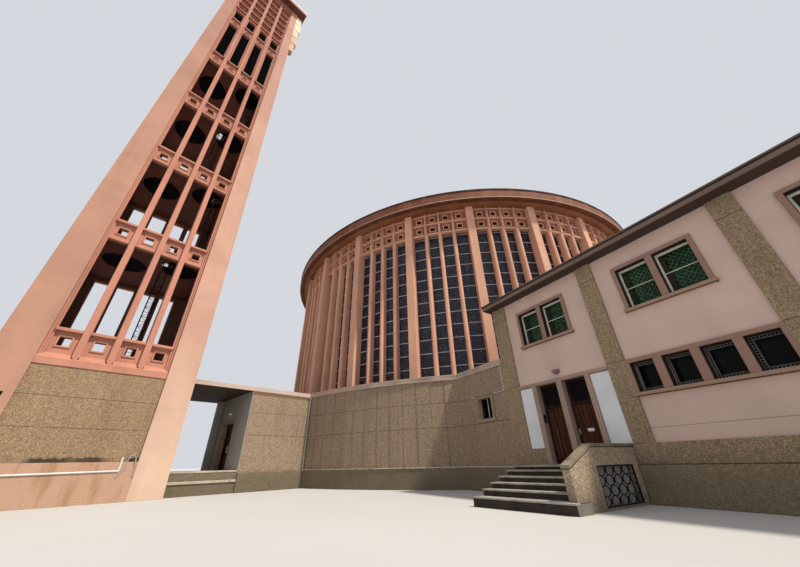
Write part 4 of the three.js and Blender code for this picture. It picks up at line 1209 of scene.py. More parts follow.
class CHURCH_OT_portico(ChurchOperator, bpy.types.Operator):
    """Door leaves, frame, lamp, walls and covering of the portico"""

    bl_idname = "church.portico"
    bl_label = "Portico"

    LEAF_GAP = 0.016
    PIN = 0.012
    STILE = 0.13
    LOCK_RAIL = 2.0
    HANDLE = (1.95, 2.35)
    HANDLE_OUT = 0.05
    HANDLE_FIXINGS = (2.0, 2.3)
    TREAD = (0.5, 0.62)

    def execute(self, context):
        dress(finishes["portico_aggregate"], "portico_near_wall", "portico_far_wall")
        dress(finishes["porch"], "portico_door_wall_near", "portico_door_head")
        dress(finishes["mossy_aggregate"], "portico_floor")
        dress(finishes["portico_roof"], "portico_roof")
        for side in ("near", "far"):
            self.leaf(side)
        self.trim()
        return {"FINISHED"}

    def leaf(self, side):
        """One leaf: stiles and rails round two sunk panels, with a pull handle."""
        low, high = (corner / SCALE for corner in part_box(f"portico_door_{side}"))
        y = (low.y + self.PIN, high.y) if side == "near" else (low.y, high.y - self.PIN)
        z = (low.z + self.LEAF_GAP, high.z - self.LEAF_GAP)
        depth = (self.PIN - high.x, -low.x)
        stile = self.STILE
        bm = bmesh.new()
        for part in ((z[0], self.LOCK_RAIL), (self.LOCK_RAIL - stile, z[1])):
            surround(bm, y, part, (y[0] + stile, y[1] - stile), (part[0] + stile, part[1] - stile),
                     depth, 0.006, QUARTER)
        box(bm, y, (depth[0] + 0.02, depth[1] - 0.02), z, 0.004, QUARTER)
        add_piece(f"portico_leaf_{side}", bm, finishes["wood"], body=f"portico_door_{side}",
                  replaces=(f"portico_door_{side}",))
        bm = bmesh.new()
        free = y[1] - 0.07 if side == "near" else y[0] + 0.07
        out = low.x - self.HANDLE_OUT
        bar(bm, (out, free, self.HANDLE[0]), (out, free, self.HANDLE[1]), 0.014)
        for level in self.HANDLE_FIXINGS:
            bar(bm, (out, free, level), (low.x + 0.01, free, level), 0.01)
        add_piece(f"portico_handle_{side}", bm, finishes["brass"],
                  body=f"portico_door_{side}")

    def trim(self):
        """Door frame, lamp, pale wall edges, roof covering, plinths and treads."""
        face = PORTICO_FACE_X
        near, far = PORTICO_NEAR_Y, PORTICO_FAR_Y
        bm = bmesh.new()
        surround(bm, (-0.1, 2.1), (FLOOR_TOP + SKIN, 3.78), (0.045, 1.955), (FLOOR_TOP + SKIN, 3.626),
                 (-face - 0.1, -face + 0.05), 0.01, QUARTER)
        add_piece("portico_door_frame", bm, finishes["jamb"])
        bm = bmesh.new()
        box(bm, (face - 0.12, face + 0.02), (0.85, 1.15), (4.1, 4.25), 0.02)
        add_piece("portico_lamp", bm, finishes["white"])
        bm = bmesh.new()
        for edges in ((near - 0.01, -1.6), (1.97, far + 0.01)):
            box(bm, (face - 0.012, face + 0.02), edges, (FLOOR_TOP, PORTICO_CEILING), 0.01)
        box(bm, (face - 0.35, face), (2.9, 3.3), (FLOOR_TOP + SKIN, PORTICO_CEILING), 0.02)
        add_piece("portico_pale_edge", bm, finishes["porch"])
        bm = bmesh.new()
        box(bm, (PORTICO_END_X + 0.3, -GALLERY_BACK_R), (-1.7, 3.65), both_sides(COPING_TOP, 0.02))
        add_piece("portico_roof_covering", bm, finishes["roofing"])
        bm = bmesh.new()
        box(bm, (face, -GALLERY_R), (near - 0.1, near + 0.05), (0, LEDGE_TOP - 0.05), 0.02)
        box(bm, (face, -GALLERY_R + 0.25), (far - 0.05, far + 0.1), (0, LEDGE_TOP - 0.05), 0.02)
        add_piece("portico_base", bm, finishes["mossy_aggregate"])
        bm = bmesh.new()
        box(bm, (PORTICO_END_X - 0.03, face), (near - 0.03, far + 0.03),
            (FLOOR_TOP - 0.07, FLOOR_TOP + 0.012), 0.02)
        box(bm, (PORTICO_END_X - 0.05, face), (near - 0.06, near + 0.1), self.TREAD, 0.02)
        add_piece("portico_treads", bm, finishes["ledge"])


class CHURCH_OT_tower(ChurchOperator, bpy.types.Operator):
    """Ledges, frames, louvres, top grid, gratings, ladders, blocks, cornice and foot of the bell tower"""

    bl_idname = "church.tower"
    bl_label = "Bell tower"

    # Depths are measured in from the face of the piers
    # A step is (inner edge, outer edge, depth) and a frame is (outer halves, inner halves, depths)
    LEDGE = (0.2, 0.5)
    JAMB_BACK = 0.5
    JAMB_STEPS = ((2.31, 2.405, 0.2), (2.22, 2.32, 0.31))
    MULLION_STEPS = ((0.14, 0.2, 0.2), (0.19, TOP_STRIP_HALF + 0.01, 0.31))
    MULLION_FOOT = ((-0.13, 5.75), (0.13, 5.75), (0.03, 5.38), (-0.03, 5.38))
    HOLE_FRAME = ((0.28, 0.28), (0.205, 0.205), (0.35, 0.5))
    SUNK_FRAME = ((0.27, 0.24), (0.17, 0.15), (0.35, 0.42))
    SUNK_LEVELS = (31.97, 38.75)
    SUNK_HALVES = (0.18, 0.16)
    TOP_GRID = (SMALL_OPENINGS[1] + 0.45, 48.75)
    BLADE_TILT = -35.0
    SLAT_TILT = 28.0

    # Each block is (foot, head, reach past the corner)
    BLOCKS = (
        (41.2, 42.75, 0.42), (42.9, 44.3, 0.62), (44.45, 45.9, 0.5), (46.05, 47.4, 0.66),
        (47.55, 49.0, 0.56),
    )
    BLOCK_WIDTH = 0.55

    # A hatch is where a ladder comes up through a grating
    HATCH = (-1.98, -1.14)
    HATCH_HALF = 0.3
    GRATING_BAR_HALF = 0.012
    CROSS_BARS = (-0.5, 0.0, 0.5)

    SOFFIT = (49.44, 49.497)
    ROOF_REACH = 0.75
    VENT = ((-2.82, -2.68), (-0.012, 0.05), (3.8, 3.98))
    PIPE = ((-2.36, 0.0, 1.09), (1.8, 0.0, 1.15), (1.8, 0.0, 1.68))
    PIPE_R = 0.035
    BEND = (
        (1.78, 0.0, 0.9), (1.96, 0.0, 1.22), (2.0, 0.0, 1.5), (2.04, 0.01, 1.7), (2.14, 0.01, 1.77),
        (2.26, 0.01, 1.68), (2.33, 0.0, 1.35), (2.36, 0.0, 0.9),
    )
    BEND_R = 0.024

    def execute(self, context):
        tower = context.scene.church_tower
        concrete = finishes["tower_concrete"]
        grid = finishes["tower_grid"]
        dress(concrete, *(f"tower_pier_{i + 1}" for i in range(3)))
        # Pier 4 gets a darker copy of the tower's colour, painted shade
        dress(finishes["dull_pier"], "tower_pier_4")
        dress(grid, *(f"tower_grid_{i + 1}" for i in range(4)))
        # The floors' undersides are painted dark as shade
        dress(finishes["soffit"], *(f"tower_floor_{i + 1}" for i in range(4)))
        dress(finishes["tower_aggregate"], "tower_base")
        dress(finishes["iron"], "tower_louvres")
        dress(concrete, "tower_roof")
        pitch = 2 * FIELD_HALF / COLUMNS
        middles = [-FIELD_HALF + (i + 0.5) * pitch for i in range(COLUMNS)]
        self.mullions = [-FIELD_HALF + i * pitch for i in range(1, COLUMNS)]
        self.cells = [both_sides(x, pitch / 2 - STRIP_HALF) for x in middles]
        self.top_cells = [both_sides(x, pitch / 2 - TOP_STRIP_HALF) for x in middles]
        self.ledges(grid)
        self.frames(grid)
        self.jambs(grid)
        self.louvres(tower.blade_pitch)
        self.top_grid(tower.grid_rows)
        self.gratings(tower.grating_pitch)
        self.ladders(tower.rung_pitch)
        self.cornice()
        self.blocks()
        self.base()
        return {"FINISHED"}

    def on_faces(self, name, make, finish, slot):
        """The same piece on all four sides of the tower."""
        whole = bmesh.new()
        bm = bmesh.new()
        make(bm)
        shape = as_shape(bm, name)
        for turn in range(4):
            stamp(whole, shape, tower_face(turn))
        bpy.data.meshes.remove(shape)
        add_piece(name, whole, finish, Matrix.Identity(4))

    def ledges(self, concrete):
        """A sill and a head to each opening of the stages."""
        def make(bm):
            for low, high in (*STAGES, SMALL_OPENINGS):
                for left, right in self.cells if low < STAGES[-1][0] else self.top_cells:
                    box(bm, (left - 0.03, right + 0.03), self.LEDGE, (low - 0.13, low + 0.02), 0.02)
                    box(bm, (left - 0.03, right + 0.03), (0.3, 0.5), (high - 0.01, high + 0.1), 0.015)

        self.on_faces("tower_ledges", make, concrete, "pink_concrete")

    def frames(self, concrete):
        """Raised frames round the square holes and the small sunk squares."""
        def make(bm):
            for left, right in self.cells:
                middle = (left + right) / 2
                for levels, (outer, inner, depth) in (
                    (SPANDREL_HOLES, self.HOLE_FRAME), (self.SUNK_LEVELS, self.SUNK_FRAME),
                ):
                    for level in levels:
                        surround(bm, both_sides(middle, outer[0]), both_sides(level, outer[1]),
                                 both_sides(middle, inner[0]), both_sides(level, inner[1]), depth, 0.01)

        self.on_faces("tower_frames", make, concrete, "pink_concrete")

    def jambs(self, concrete):
        """Stepped edges beside the openings and pointed feet under the mullions."""
        def make(bm):
            for side in (-1, 1):
                for inner, outer, depth in self.JAMB_STEPS:
                    edges = sorted((side * inner, side * outer))
                    box(bm, edges, (depth, self.JAMB_BACK), (5.45, TOWER_WALL_TOP - 0.25), 0.012)
                for x in self.mullions:
                    for inner, outer, depth in self.MULLION_STEPS:
                        edges = sorted((x + side * inner, x + side * outer))
                        levels = (STAGES[-1][0] - 0.02, SMALL_OPENINGS[1] + 0.02)
                        box(bm, edges, (depth, self.JAMB_BACK), levels, 0.01)
            for x in self.mullions:
                extruded(bm, [(x + out, 0.098, level) for out, level in self.MULLION_FOOT], (0, 0.3, 0))

        self.on_faces("tower_jambs", make, concrete, "pink_concrete")

    def louvres(self, pitch):
        """Sloping black blades in the top openings."""
        tilt = Matrix.Rotation(math.radians(self.BLADE_TILT), 4, "X")

        def make(bm):
            for left, right in self.top_cells:
                for low, high in (STAGES[-1], SMALL_OPENINGS):
                    for i in range(1, round((high - low) / pitch)):
                        place = Matrix.Translation((0, 0.6, low + i * pitch)) @ tilt
                        box(bm, (left, right), (-0.07, 0.07), (-0.012, 0.012), 0, place)

        self.on_faces("tower_louvre_blades", make, finishes["iron"], "black_iron")

    def top_grid(self, rows):
        """Rows of sunk panels, each with a bar under it and a sloping slat across it."""
        low, high = self.TOP_GRID
        rise = (high - low) / rows
        slope = Matrix.Rotation(math.radians(self.SLAT_TILT), 4, "X")

        def bars(bm):
            for left, right in self.cells:
                for i in range(rows + 1):
                    level = low + i * rise
                    box(bm, (left - 0.03, right + 0.03), (0.17, 0.42), (level - 0.08, level + 0.08), 0.02)
                    box(bm, (left - 0.03, right + 0.03), (0.3, 0.42), (level + 0.16, level + 0.22), 0.01)

        def slats(bm):
            for left, right in self.cells:
                for i in range(rows):
                    place = Matrix.Translation((0, 0.33, low + (i + 0.5) * rise)) @ slope
                    box(bm, (left + 0.12, right - 0.12), (-0.1, 0.09), (-0.05, 0.05), 0.012, place)

        def sunk(bm):
            for left, right in self.cells:
                box(bm, (left - 0.02, right + 0.02), (0.385, 0.41), (low, high))
            across, upright = self.SUNK_HALVES
            for left, right in self.cells:
                for level in self.SUNK_LEVELS:
                    box(bm, both_sides((left + right) / 2, across), (0.39, 0.42), both_sides(level, upright))

        self.on_faces("tower_top_bars", bars, finishes["tower_grid"], "pink_concrete")
        self.on_faces("tower_top_slats", slats, finishes["slat"], "dark_concrete")
        # The sunk panels are painted dark as shade
        self.on_faces("tower_top_panels", sunk, finishes["recess"], "dark_concrete")

    def gratings(self, pitch):
        """Black bar gratings in the floors' round holes, open where a ladder comes up, in rims painted dark
        as shade.
        """
        gratings = bmesh.new()
        rims = bmesh.new()
        for index, level in enumerate(TOWER_FLOORS):
            hatch = LADDER_PLACES[index % 2]
            for x, y, r in FLOOR_HOLES:
                rim = Matrix.Translation((x, y, 0))
                band(rims, (r - 0.012, r + 0.07), (level - 0.025, level + 0.02), steps=32, matrix=rim)
                for i in range(1, round(2 * r / pitch)):
                    across = i * pitch - r
                    half = math.sqrt(r * r - across * across)
                    at = both_sides(y + across, self.GRATING_BAR_HALF)
                    spans = [both_sides(x, half)]
                    if self.HATCH[0] < y + across < self.HATCH[1] and abs(x - hatch) < r + self.HATCH_HALF:
                        spans = [(x - half, hatch - self.HATCH_HALF), (hatch + self.HATCH_HALF, x + half)]
                    for span in spans:
                        if span[1] > span[0]:
                            box(gratings, span, at, (level + 0.02, level + 0.24))
                for across in self.CROSS_BARS:
                    half = math.sqrt(r * r - across * across)
                    if abs(x + across - hatch) > self.HATCH_HALF:
                        box(gratings, both_sides(x + across, 0.02), both_sides(y, half),
                            (level + 0.03, level + 0.1))
        add_piece("tower_gratings", gratings, finishes["iron"], TOWER)
        add_piece("tower_grating_rims", rims, finishes["recess"], TOWER)

    def ladders(self, pitch):
        """A lattice ladder for each stage: two rails, close rungs and crossed ties."""
        bm = bmesh.new()
        foot = FLOOR_TOP + SKIN
        for index, level in enumerate(TOWER_FLOORS):
            left = LADDER_PLACES[index % 2] - LADDER_WIDTH / 2
            right = left + LADDER_WIDTH
            top = level + TOWER_FLOOR_THICK + LADDER_ABOVE
            for x in (left, right):
                box(bm, both_sides(x, 0.03), both_sides(LADDER_Y, 0.03), (foot, top))
            for step in range(1, int((top - foot) / pitch)):
                rise = foot + step * pitch
                ends = (right, left) if step % 2 else (left, right)
                bar(bm, (left, LADDER_Y, rise), (right, LADDER_Y, rise), 0.014, 6)
                bar(bm, (ends[0], LADDER_Y, rise), (ends[1], LADDER_Y, rise + pitch), 0.011, 5)
            foot = level + LADDER_LAP
        add_piece(
            "tower_lattice_ladder", bm, finishes["iron"], TOWER, replaces=("tower_ladder",)
        )

    def cornice(self):
        """White roof edge, a soffit under it painted dark as shade, and the roof's covering."""
        half = TOWER_HALF - TOWER_LEAN * TOWER_WALL_TOP
        edge = half + self.ROOF_REACH
        bm = bmesh.new()
        top = (TOWER_ROOF_TOP - 0.07, TOWER_ROOF_TOP + 0.03)
        for turn in range(4):
            box(bm, (-edge - 0.03, edge - 0.1), (-edge - 0.03, -edge + 0.1), top, 0, turned(90 * turn))
        add_piece("tower_roof_edge", bm, finishes["white"], TOWER)
        bm = bmesh.new()
        for turn in range(4):
            along, across = (-edge + 0.06, half + 0.01), (-edge + 0.06, -half - 0.01)
            box(bm, along, across, self.SOFFIT, 0, turned(90 * turn))
        add_piece("tower_soffit", bm, finishes["soffit"], TOWER)
        bm = bmesh.new()
        inside = (-edge + 0.15, edge - 0.15)
        box(bm, inside, inside, (TOWER_ROOF_TOP - 0.01, TOWER_ROOF_TOP + 0.02))
        add_piece("tower_roof_covering", bm, finishes["roofing"], TOWER)

    def blocks(self):
        """Pale blocks up the tower's outer corner, over a backing painted dark as the shade in the gaps
        between them.
        """
        bm = bmesh.new()
        for low, high, out in self.BLOCKS:
            half = TOWER_HALF - TOWER_LEAN * (low + high) / 2
            box(bm, (half - 0.1, half + out), (-half - 0.05, -half + self.BLOCK_WIDTH), (low, high), 0.03)
        add_piece("tower_blocks", bm, finishes["cream"], TOWER)
        # Painted shade: a dark backing that shows in the gaps between the blocks
        bm = bmesh.new()
        foot, head = self.BLOCKS[0][0], self.BLOCKS[-1][1]
        half = TOWER_HALF - TOWER_LEAN * foot
        tilt = TOWER_LEAN * (head - foot)
        corners = ((half - 0.1, foot), (half - 0.1, head), (half + 0.14 - tilt, head), (half + 0.14, foot))
        extruded(bm, [(x, -half + 0.06 + tilt, z) for x, z in corners], (0, 0.4, 0))
        add_piece("tower_block_backing", bm, finishes["soffit"], TOWER)

    def base(self):
        """A painted plinth under the pebbled panels, a vent, and the pipes along the plinth."""
        def make(bm):
            box(bm, (-FIELD_HALF + 0.01, FIELD_HALF - 0.01), (0.1, 0.2), (0.0, PLINTH_TOP - 0.02), 0.02)

        self.on_faces("tower_plinth", make, finishes["tower_aggregate"], "pink_concrete")
        bm = bmesh.new()
        box(bm, *self.VENT, 0.008, tower_face(0))
        add_piece("tower_vent", bm, finishes["iron"], Matrix.Identity(4))
        for name, route, radius, finish in (
            ("tower_pipe", self.PIPE, self.PIPE_R, "white"), ("tower_bend", self.BEND, self.BEND_R, "hose"),
        ):
            bm = bmesh.new()
            for start, end in zip(route, route[1:]):
                bar(bm, start, end, radius, 10)
            for spot in route[1:-1]:
                at = Matrix.Translation(spot)
                bmesh.ops.create_icosphere(bm, subdivisions=2, radius=radius, matrix=at)
            bmesh.ops.transform(bm, matrix=tower_face(0), verts=bm.verts)
            add_piece(name, bm, finishes[finish], Matrix.Identity(4))


class CHURCH_OT_presbytery(ChurchOperator, bpy.types.Operator):
    """Walls, windows, doors, roof edge and fittings of the presbytery"""

    bl_idname = "church.presbytery"
    bl_label = "Presbytery"

    # Depths run into the house from its front face, and a window's pair is (out, in)
    FRAME_DEPTH = (-0.012, 0.3)
    SILL_DEPTH = (-0.08, 0.3)
    CASEMENT_DEPTH = (0.21, 0.27)
    CURTAIN_DEPTH = (0.275, 0.285)
    GRILLE_DEPTH = 0.22
    GRILLE_ROD = 0.006
    WINDOW_BORDER = 0.125
    BACK_PROUD = 0.03

    DOOR_DEPTH = (0.23, 0.31)
    DOOR_GAP = 0.016
    DOOR_SPLIT = 2.95
    STILE = 0.09
    LATTICE_PITCH = 0.16
    LATTICE_COUNT = 5
    LATCH_PLATE = (1.95, 2.15)
    KNOB_LEVEL = 2.06
    LETTER_PLATE = ((3.22, 3.46), (2.03, 2.13))
    JAMBS = ((1.43, 1.645), (2.595, 2.825), (3.795, 3.98))
    SIDE_PANELS = ((0.77, 1.42), (3.99, 4.68))
    LAMP = (2.71, 0.02, 4.3)
    LAMP_R = 0.16
    BELL_PLATE = ((1.64, 1.7), (0.04, 0.14), (2.46, 2.76))

    def execute(self, context):
        house = context.scene.church_presbytery
        walls = ("front_left", "door_post", "front_lower", "front_upper", "back_wall")
        dress(finishes["render"], *(f"presbytery_{name}" for name in walls))
        dress(finishes["grey"], "presbytery_ground_floor", "presbytery_upper_floor")
        # The roof slab's underside is painted near-black as shade
        dress(finishes["eave"], "presbytery_roof")
        dress(finishes["green_glass"], "presbytery_glass_upper", "presbytery_back_glass_upper")
        dress(finishes["dark_glass"], "presbytery_glass_lower", "presbytery_back_glass_lower")
        self.stonework()
        self.windows()
        self.grilles(house.scroll_radius)
        for index in range(2):
            self.door(index, house.boards)
        self.entrance()
        self.roof_edge()
        return {"FINISHED"}

    def stonework(self):
        """Pebbled pilasters and plinth, on the front and round the back."""
        bm = bmesh.new()
        for start, end in PILASTERS:
            box(bm, (start - SKIN, end + SKIN), (-0.012, 0.09), (HOUSE_PLINTH, HOUSE_WALL_TOP - SKIN), 0.01)
        add_piece("presbytery_pilasters", bm, finishes["house_aggregate"], HOUSE)
        bm = bmesh.new()
        wall_end, wall_back = HOUSE_LENGTH + self.BACK_PROUD, HOUSE_DEPTH + self.BACK_PROUD
        for start, end in ((-SKIN, self.JAMBS[0][0]), (FLANK_RIGHT + 0.01, wall_end)):
            box(bm, (start, end), (-0.03, 0.09), (1.0, HOUSE_PLINTH), 0.012)
            if start > 1:
                box(bm, (start, end), (-0.09, 0.09), (0, 1.0), 0.015)
        beside = (self.JAMBS[-1][1], FLANK_LEFT - 0.01)
        box(bm, beside, (-0.03, 0.09), (FLOOR_TOP + 0.01, HOUSE_PLINTH), 0.012)
        add_piece("presbytery_plinth", bm, finishes["house_aggregate"], HOUSE)
        bm = bmesh.new()
        inside = HOUSE_DEPTH - 0.02
        box(bm, (HOUSE_LENGTH - 0.02, wall_end), (0.0, HOUSE_DEPTH), (0, HOUSE_PLINTH), 0.012)
        box(bm, (HOUSE_CUT_S, wall_end), (inside, wall_back), (0, HOUSE_PLINTH), 0.012)
        for edges in PILASTERS[1:]:
            box(bm, edges, (inside, HOUSE_DEPTH + 0.07), (HOUSE_PLINTH, HOUSE_WALL_TOP - SKIN), 0.01)
        add_piece("presbytery_back_stonework", bm, finishes["house_aggregate"], HOUSE)

    def window_group(self, frames, sills, reveals, start, lights, levels, y, sill_y):
        """A framed row of lights with posts between them, a sill under it, and dark strips of painted shade
        in the reveals and under the sill.
        """
        low, high = levels
        first = start + lights[0][0] - self.WINDOW_BORDER
        last = start + lights[-1][1] + self.WINDOW_BORDER
        box(frames, (first, last), y, (high - 0.005, high + 0.12), 0.01)
        box(sills, (first - 0.05, last + 0.05), sill_y, (low - 0.1, low + 0.004), 0.012)
        # Painted shadow: a dark strip under the sill
        box(reveals, (first - 0.02, last + 0.02), y, (low - 0.118, low - 0.095), 0.004)
        edges = [first, *(start + side for light in lights for side in light), last]
        for left, right in zip(edges[::2], edges[1::2]):
            edge = (left - 0.004 * (left > first), right + 0.004 * (right < last))
            box(frames, edge, y, (low, high), 0.01)
        deep = (y[0] + 0.02, y[1] - 0.02)
        for left, right in zip(edges[1::2], edges[2::2]):
            # Painted shade: dark strips along the head and the left side of each reveal
            box(reveals, (left, right), deep, (high - 0.02, high - 0.002))
            box(reveals, (left + 0.003, left + 0.02), deep, (low, high - 0.02))

    def casement(self, bm, x, z, y):
        """A light's stiles and rails, the left stile wide, with one bar across the glass."""
        surround(bm, x, z, (x[0] + 0.07, x[1] - 0.04), (z[0] + 0.04, z[1] - 0.09), y, 0.008)
        level = (z[0] + z[1]) / 2
        box(bm, (x[0] + 0.06, x[1] - 0.035), (y[0] + 0.015, y[1] - 0.01), (level - 0.009, level + 0.009))

    def windows(self):
        """The window rows of both storeys, on the front and on the back."""
        front = frames, sills, reveals, casements = [bmesh.new() for _ in range(4)]
        back = back_frames, back_sills, back_reveals, back_casements = [bmesh.new() for _ in range(4)]
        outside = (HOUSE_DEPTH - 0.3, HOUSE_DEPTH + 0.06)
        back_sill = (outside[0], HOUSE_DEPTH + 0.1)
        back_leaf = (HOUSE_DEPTH - 0.26, HOUSE_DEPTH - 0.19)
        for bay, (_, start) in enumerate(PILASTERS[:4]):
            sides = [(start + left + 0.004, start + right - 0.004) for left, right in UPPER_LIGHTS]
            self.window_group(frames, sills, reveals, start, UPPER_LIGHTS, UPPER_WINDOW,
                              self.FRAME_DEPTH, self.SILL_DEPTH)
            for edges in sides:
                self.casement(casements, edges, UPPER_WINDOW, self.CASEMENT_DEPTH)
                # A dark strip behind the glass beside the casement's left stile, in the same near-black
                # finish
                box(reveals, (edges[0] + 0.07, edges[0] + 0.2), self.CURTAIN_DEPTH, UPPER_WINDOW)
            if bay == 0:
                continue
            self.window_group(frames, sills, reveals, start, LOWER_LIGHTS, LOWER_WINDOW,
                              self.FRAME_DEPTH, self.SILL_DEPTH)
            for levels in (LOWER_WINDOW, UPPER_WINDOW):
                self.window_group(back_frames, back_sills, back_reveals, start, UPPER_LIGHTS, levels,
                                  outside, back_sill)
                for edges in sides:
                    self.casement(back_casements, edges, levels, back_leaf)
        looks = (
            ("frames", "window_concrete", "pink_concrete"), ("sills", "sill", "pink_concrete"),
            ("reveals", "reveal", "dark_concrete"), ("casements", "olive", "render"),
        )
        for side, meshes in (("window_", front), ("back_", back)):
            for bm, (name, finish, slot) in zip(meshes, looks):
                prefix = "" if (side, name) == ("window_", "casements") else side
                add_piece(f"presbytery_{prefix}{name}", bm, finishes[finish], HOUSE)

    def grilles(self, radius):
        """Pale wrought-iron borders of small rings, on three sides of each lower window."""
        bm = bmesh.new()
        ring = ring_shape(radius, 0.007)
        rod = self.GRILLE_ROD
        z0, z1 = LOWER_WINDOW[0] + 0.02, LOWER_WINDOW[1] - 0.02
        inset = 2 * radius + 0.02
        half = inset / 2
        for _, start in PILASTERS[1:4]:
            for light in LOWER_LIGHTS:
                x0, x1 = start + light[0] + 0.02, start + light[1] - 0.02
                surround(bm, (x0 + inset, x1), (z0 + inset, z1 - inset),
                         (x0 + inset + rod, x1 - rod), (z0 + inset + rod, z1 - inset - rod),
                         both_sides(self.GRILLE_DEPTH, 0.008))
                across = max(1, round((x1 - x0 - inset) / (2 * radius)))
                rise = max(1, round((z1 - z0 - inset) / (2 * radius)))
                spots = [(x0 + half + (x1 - x0 - inset) * i / across, level) for i in range(across + 1)
                         for level in (z0 + half, z1 - half)]
                spots += [(x0 + half, z0 + half + (z1 - z0 - inset) * i / rise) for i in range(1, rise)]
                for x, z in spots:
                    stamp(bm, ring, Matrix.Translation((x, self.GRILLE_DEPTH, z)))
        bpy.data.meshes.remove(ring)
        add_piece("presbytery_grilles", bm, finishes["grille"], HOUSE)

    def door(self, index, boards):
        """A leaf of upright boards under a latticed light, with its latch plate and knob."""
        gap, stile = self.DOOR_GAP, self.STILE
        left, right = DOORS[index][0] + gap, DOORS[index][1] - gap
        foot, head = FLOOR_TOP + gap, DOOR_HEAD - gap
        front, back = self.DOOR_DEPTH
        split = self.DOOR_SPLIT
        bm = bmesh.new()
        surround(bm, (left, right), (foot, head), (left + stile, right - stile), (foot + 0.16, head - 0.1),
                 (front, back), 0.006)
        box(bm, (left + 0.08, right - 0.08), (front, back), (split, split + 0.12), 0.006)
        name = f"presbytery_door_{index + 1}"
        add_piece(f"{name}_leaf", bm, finishes["wood"], HOUSE, name, (name,))
        bm = bmesh.new()
        width = (right - left - 2 * stile) / boards
        for i in range(boards):
            x = left + stile + i * width
            box(bm, (x, x + width - 0.012), (front + 0.02, back - 0.015), (foot + 0.15, split + 0.01), 0.014)
        add_piece(f"{name}_boards", bm, finishes["boards"], HOUSE, name)
        bm = bmesh.new()
        x0, x1, z0, z1 = left + 0.08, right - 0.08, split + 0.11, head - 0.09
        box(bm, (x0, x1), (front + 0.035, front + 0.045), (z0, z1))
        add_piece(f"{name}_light", bm, finishes["dark_glass"], HOUSE, name)
        bm = bmesh.new()
        for i in range(-self.LATTICE_COUNT, self.LATTICE_COUNT + 1):
            for lean in (-1, 1):
                middle = Vector(((x0 + x1) / 2 + i * self.LATTICE_PITCH, front + 0.025, (z0 + z1) / 2))
                reach = Vector((lean, 0, 1)).normalized() * 0.9
                ends = clipped(middle - reach, middle + reach, (x0, x1), (z0, z1))
                if ends:
                    bar(bm, *ends, 0.009, 5)
        add_piece(f"{name}_lattice", bm, finishes["iron"], HOUSE, name)
        bm = bmesh.new()
        knob = right - 0.07 if index == 0 else left + 0.07
        box(bm, both_sides(knob, 0.022), (front - 0.008, front + 0.01), self.LATCH_PLATE, 0.004)
        bar(bm, (knob, front - 0.05, self.KNOB_LEVEL), (knob, front, self.KNOB_LEVEL), 0.012)
        add_piece(f"{name}_fittings", bm, finishes["brass"], HOUSE, name)
        if index == 1:
            bm = bmesh.new()
            across, levels = self.LETTER_PLATE
            box(bm, across, (front - 0.012, front + 0.03), levels, 0.004)
            add_piece(f"{name}_letter_plate", bm, finishes["white"], HOUSE, name)

    def entrance(self):
        """Jambs, white side panels with a painted shadow along their heads, lamp and bell plate round the
        doors.
        """
        bm = bmesh.new()
        for edges in self.JAMBS:
            box(bm, edges, (-0.02, 0.4), (FLOOR_TOP + SKIN, DOOR_HEAD), 0.012)
        box(bm, (0.76, 4.69), (-0.02, 0.06), (DOOR_HEAD - 0.02, DOOR_HEAD + 0.1), 0.012)
        add_piece("presbytery_door_jambs", bm, finishes["jamb"], HOUSE)
        bm = bmesh.new()
        for edges in self.SIDE_PANELS:
            box(bm, edges, (0.03, 0.09), (HOUSE_PLINTH + 0.01, DOOR_HEAD - 0.03), 0.01)
        add_piece("presbytery_white_panels", bm, finishes["white_panel"], HOUSE)
        bm = bmesh.new()
        x, _, level = self.LAMP
        bowl = Matrix.Translation(self.LAMP) @ Matrix.Diagonal((1, 1, 0.9, 1))
        made = bmesh.ops.create_uvsphere(bm, u_segments=16, v_segments=10, radius=self.LAMP_R, matrix=bowl)
        geom = made["verts"] + list(bm.edges) + list(bm.faces)
        cut = bmesh.ops.bisect_plane(bm, geom=geom, plane_co=self.LAMP, plane_no=(0, 0, 1), clear_outer=True)
        rim = [item for item in cut["geom_cut"] if isinstance(item, bmesh.types.BMEdge)]
        bmesh.ops.edgeloop_fill(bm, edges=rim)
        box(bm, both_sides(x, 0.11), (-0.12, 0.1), (level - 0.005, level + 0.02), 0.01)
        add_piece("presbytery_lamp", bm, finishes["lamp"], HOUSE)
        bm = bmesh.new()
        box(bm, *self.BELL_PLATE, 0.008)
        # Painted shadow: a black strip along the head of each white side panel
        for edges in self.SIDE_PANELS:
            box(bm, edges, (0.0, 0.09), (DOOR_HEAD - 0.03, DOOR_HEAD), 0.004)
        add_piece("presbytery_bell", bm, finishes["iron"], HOUSE)

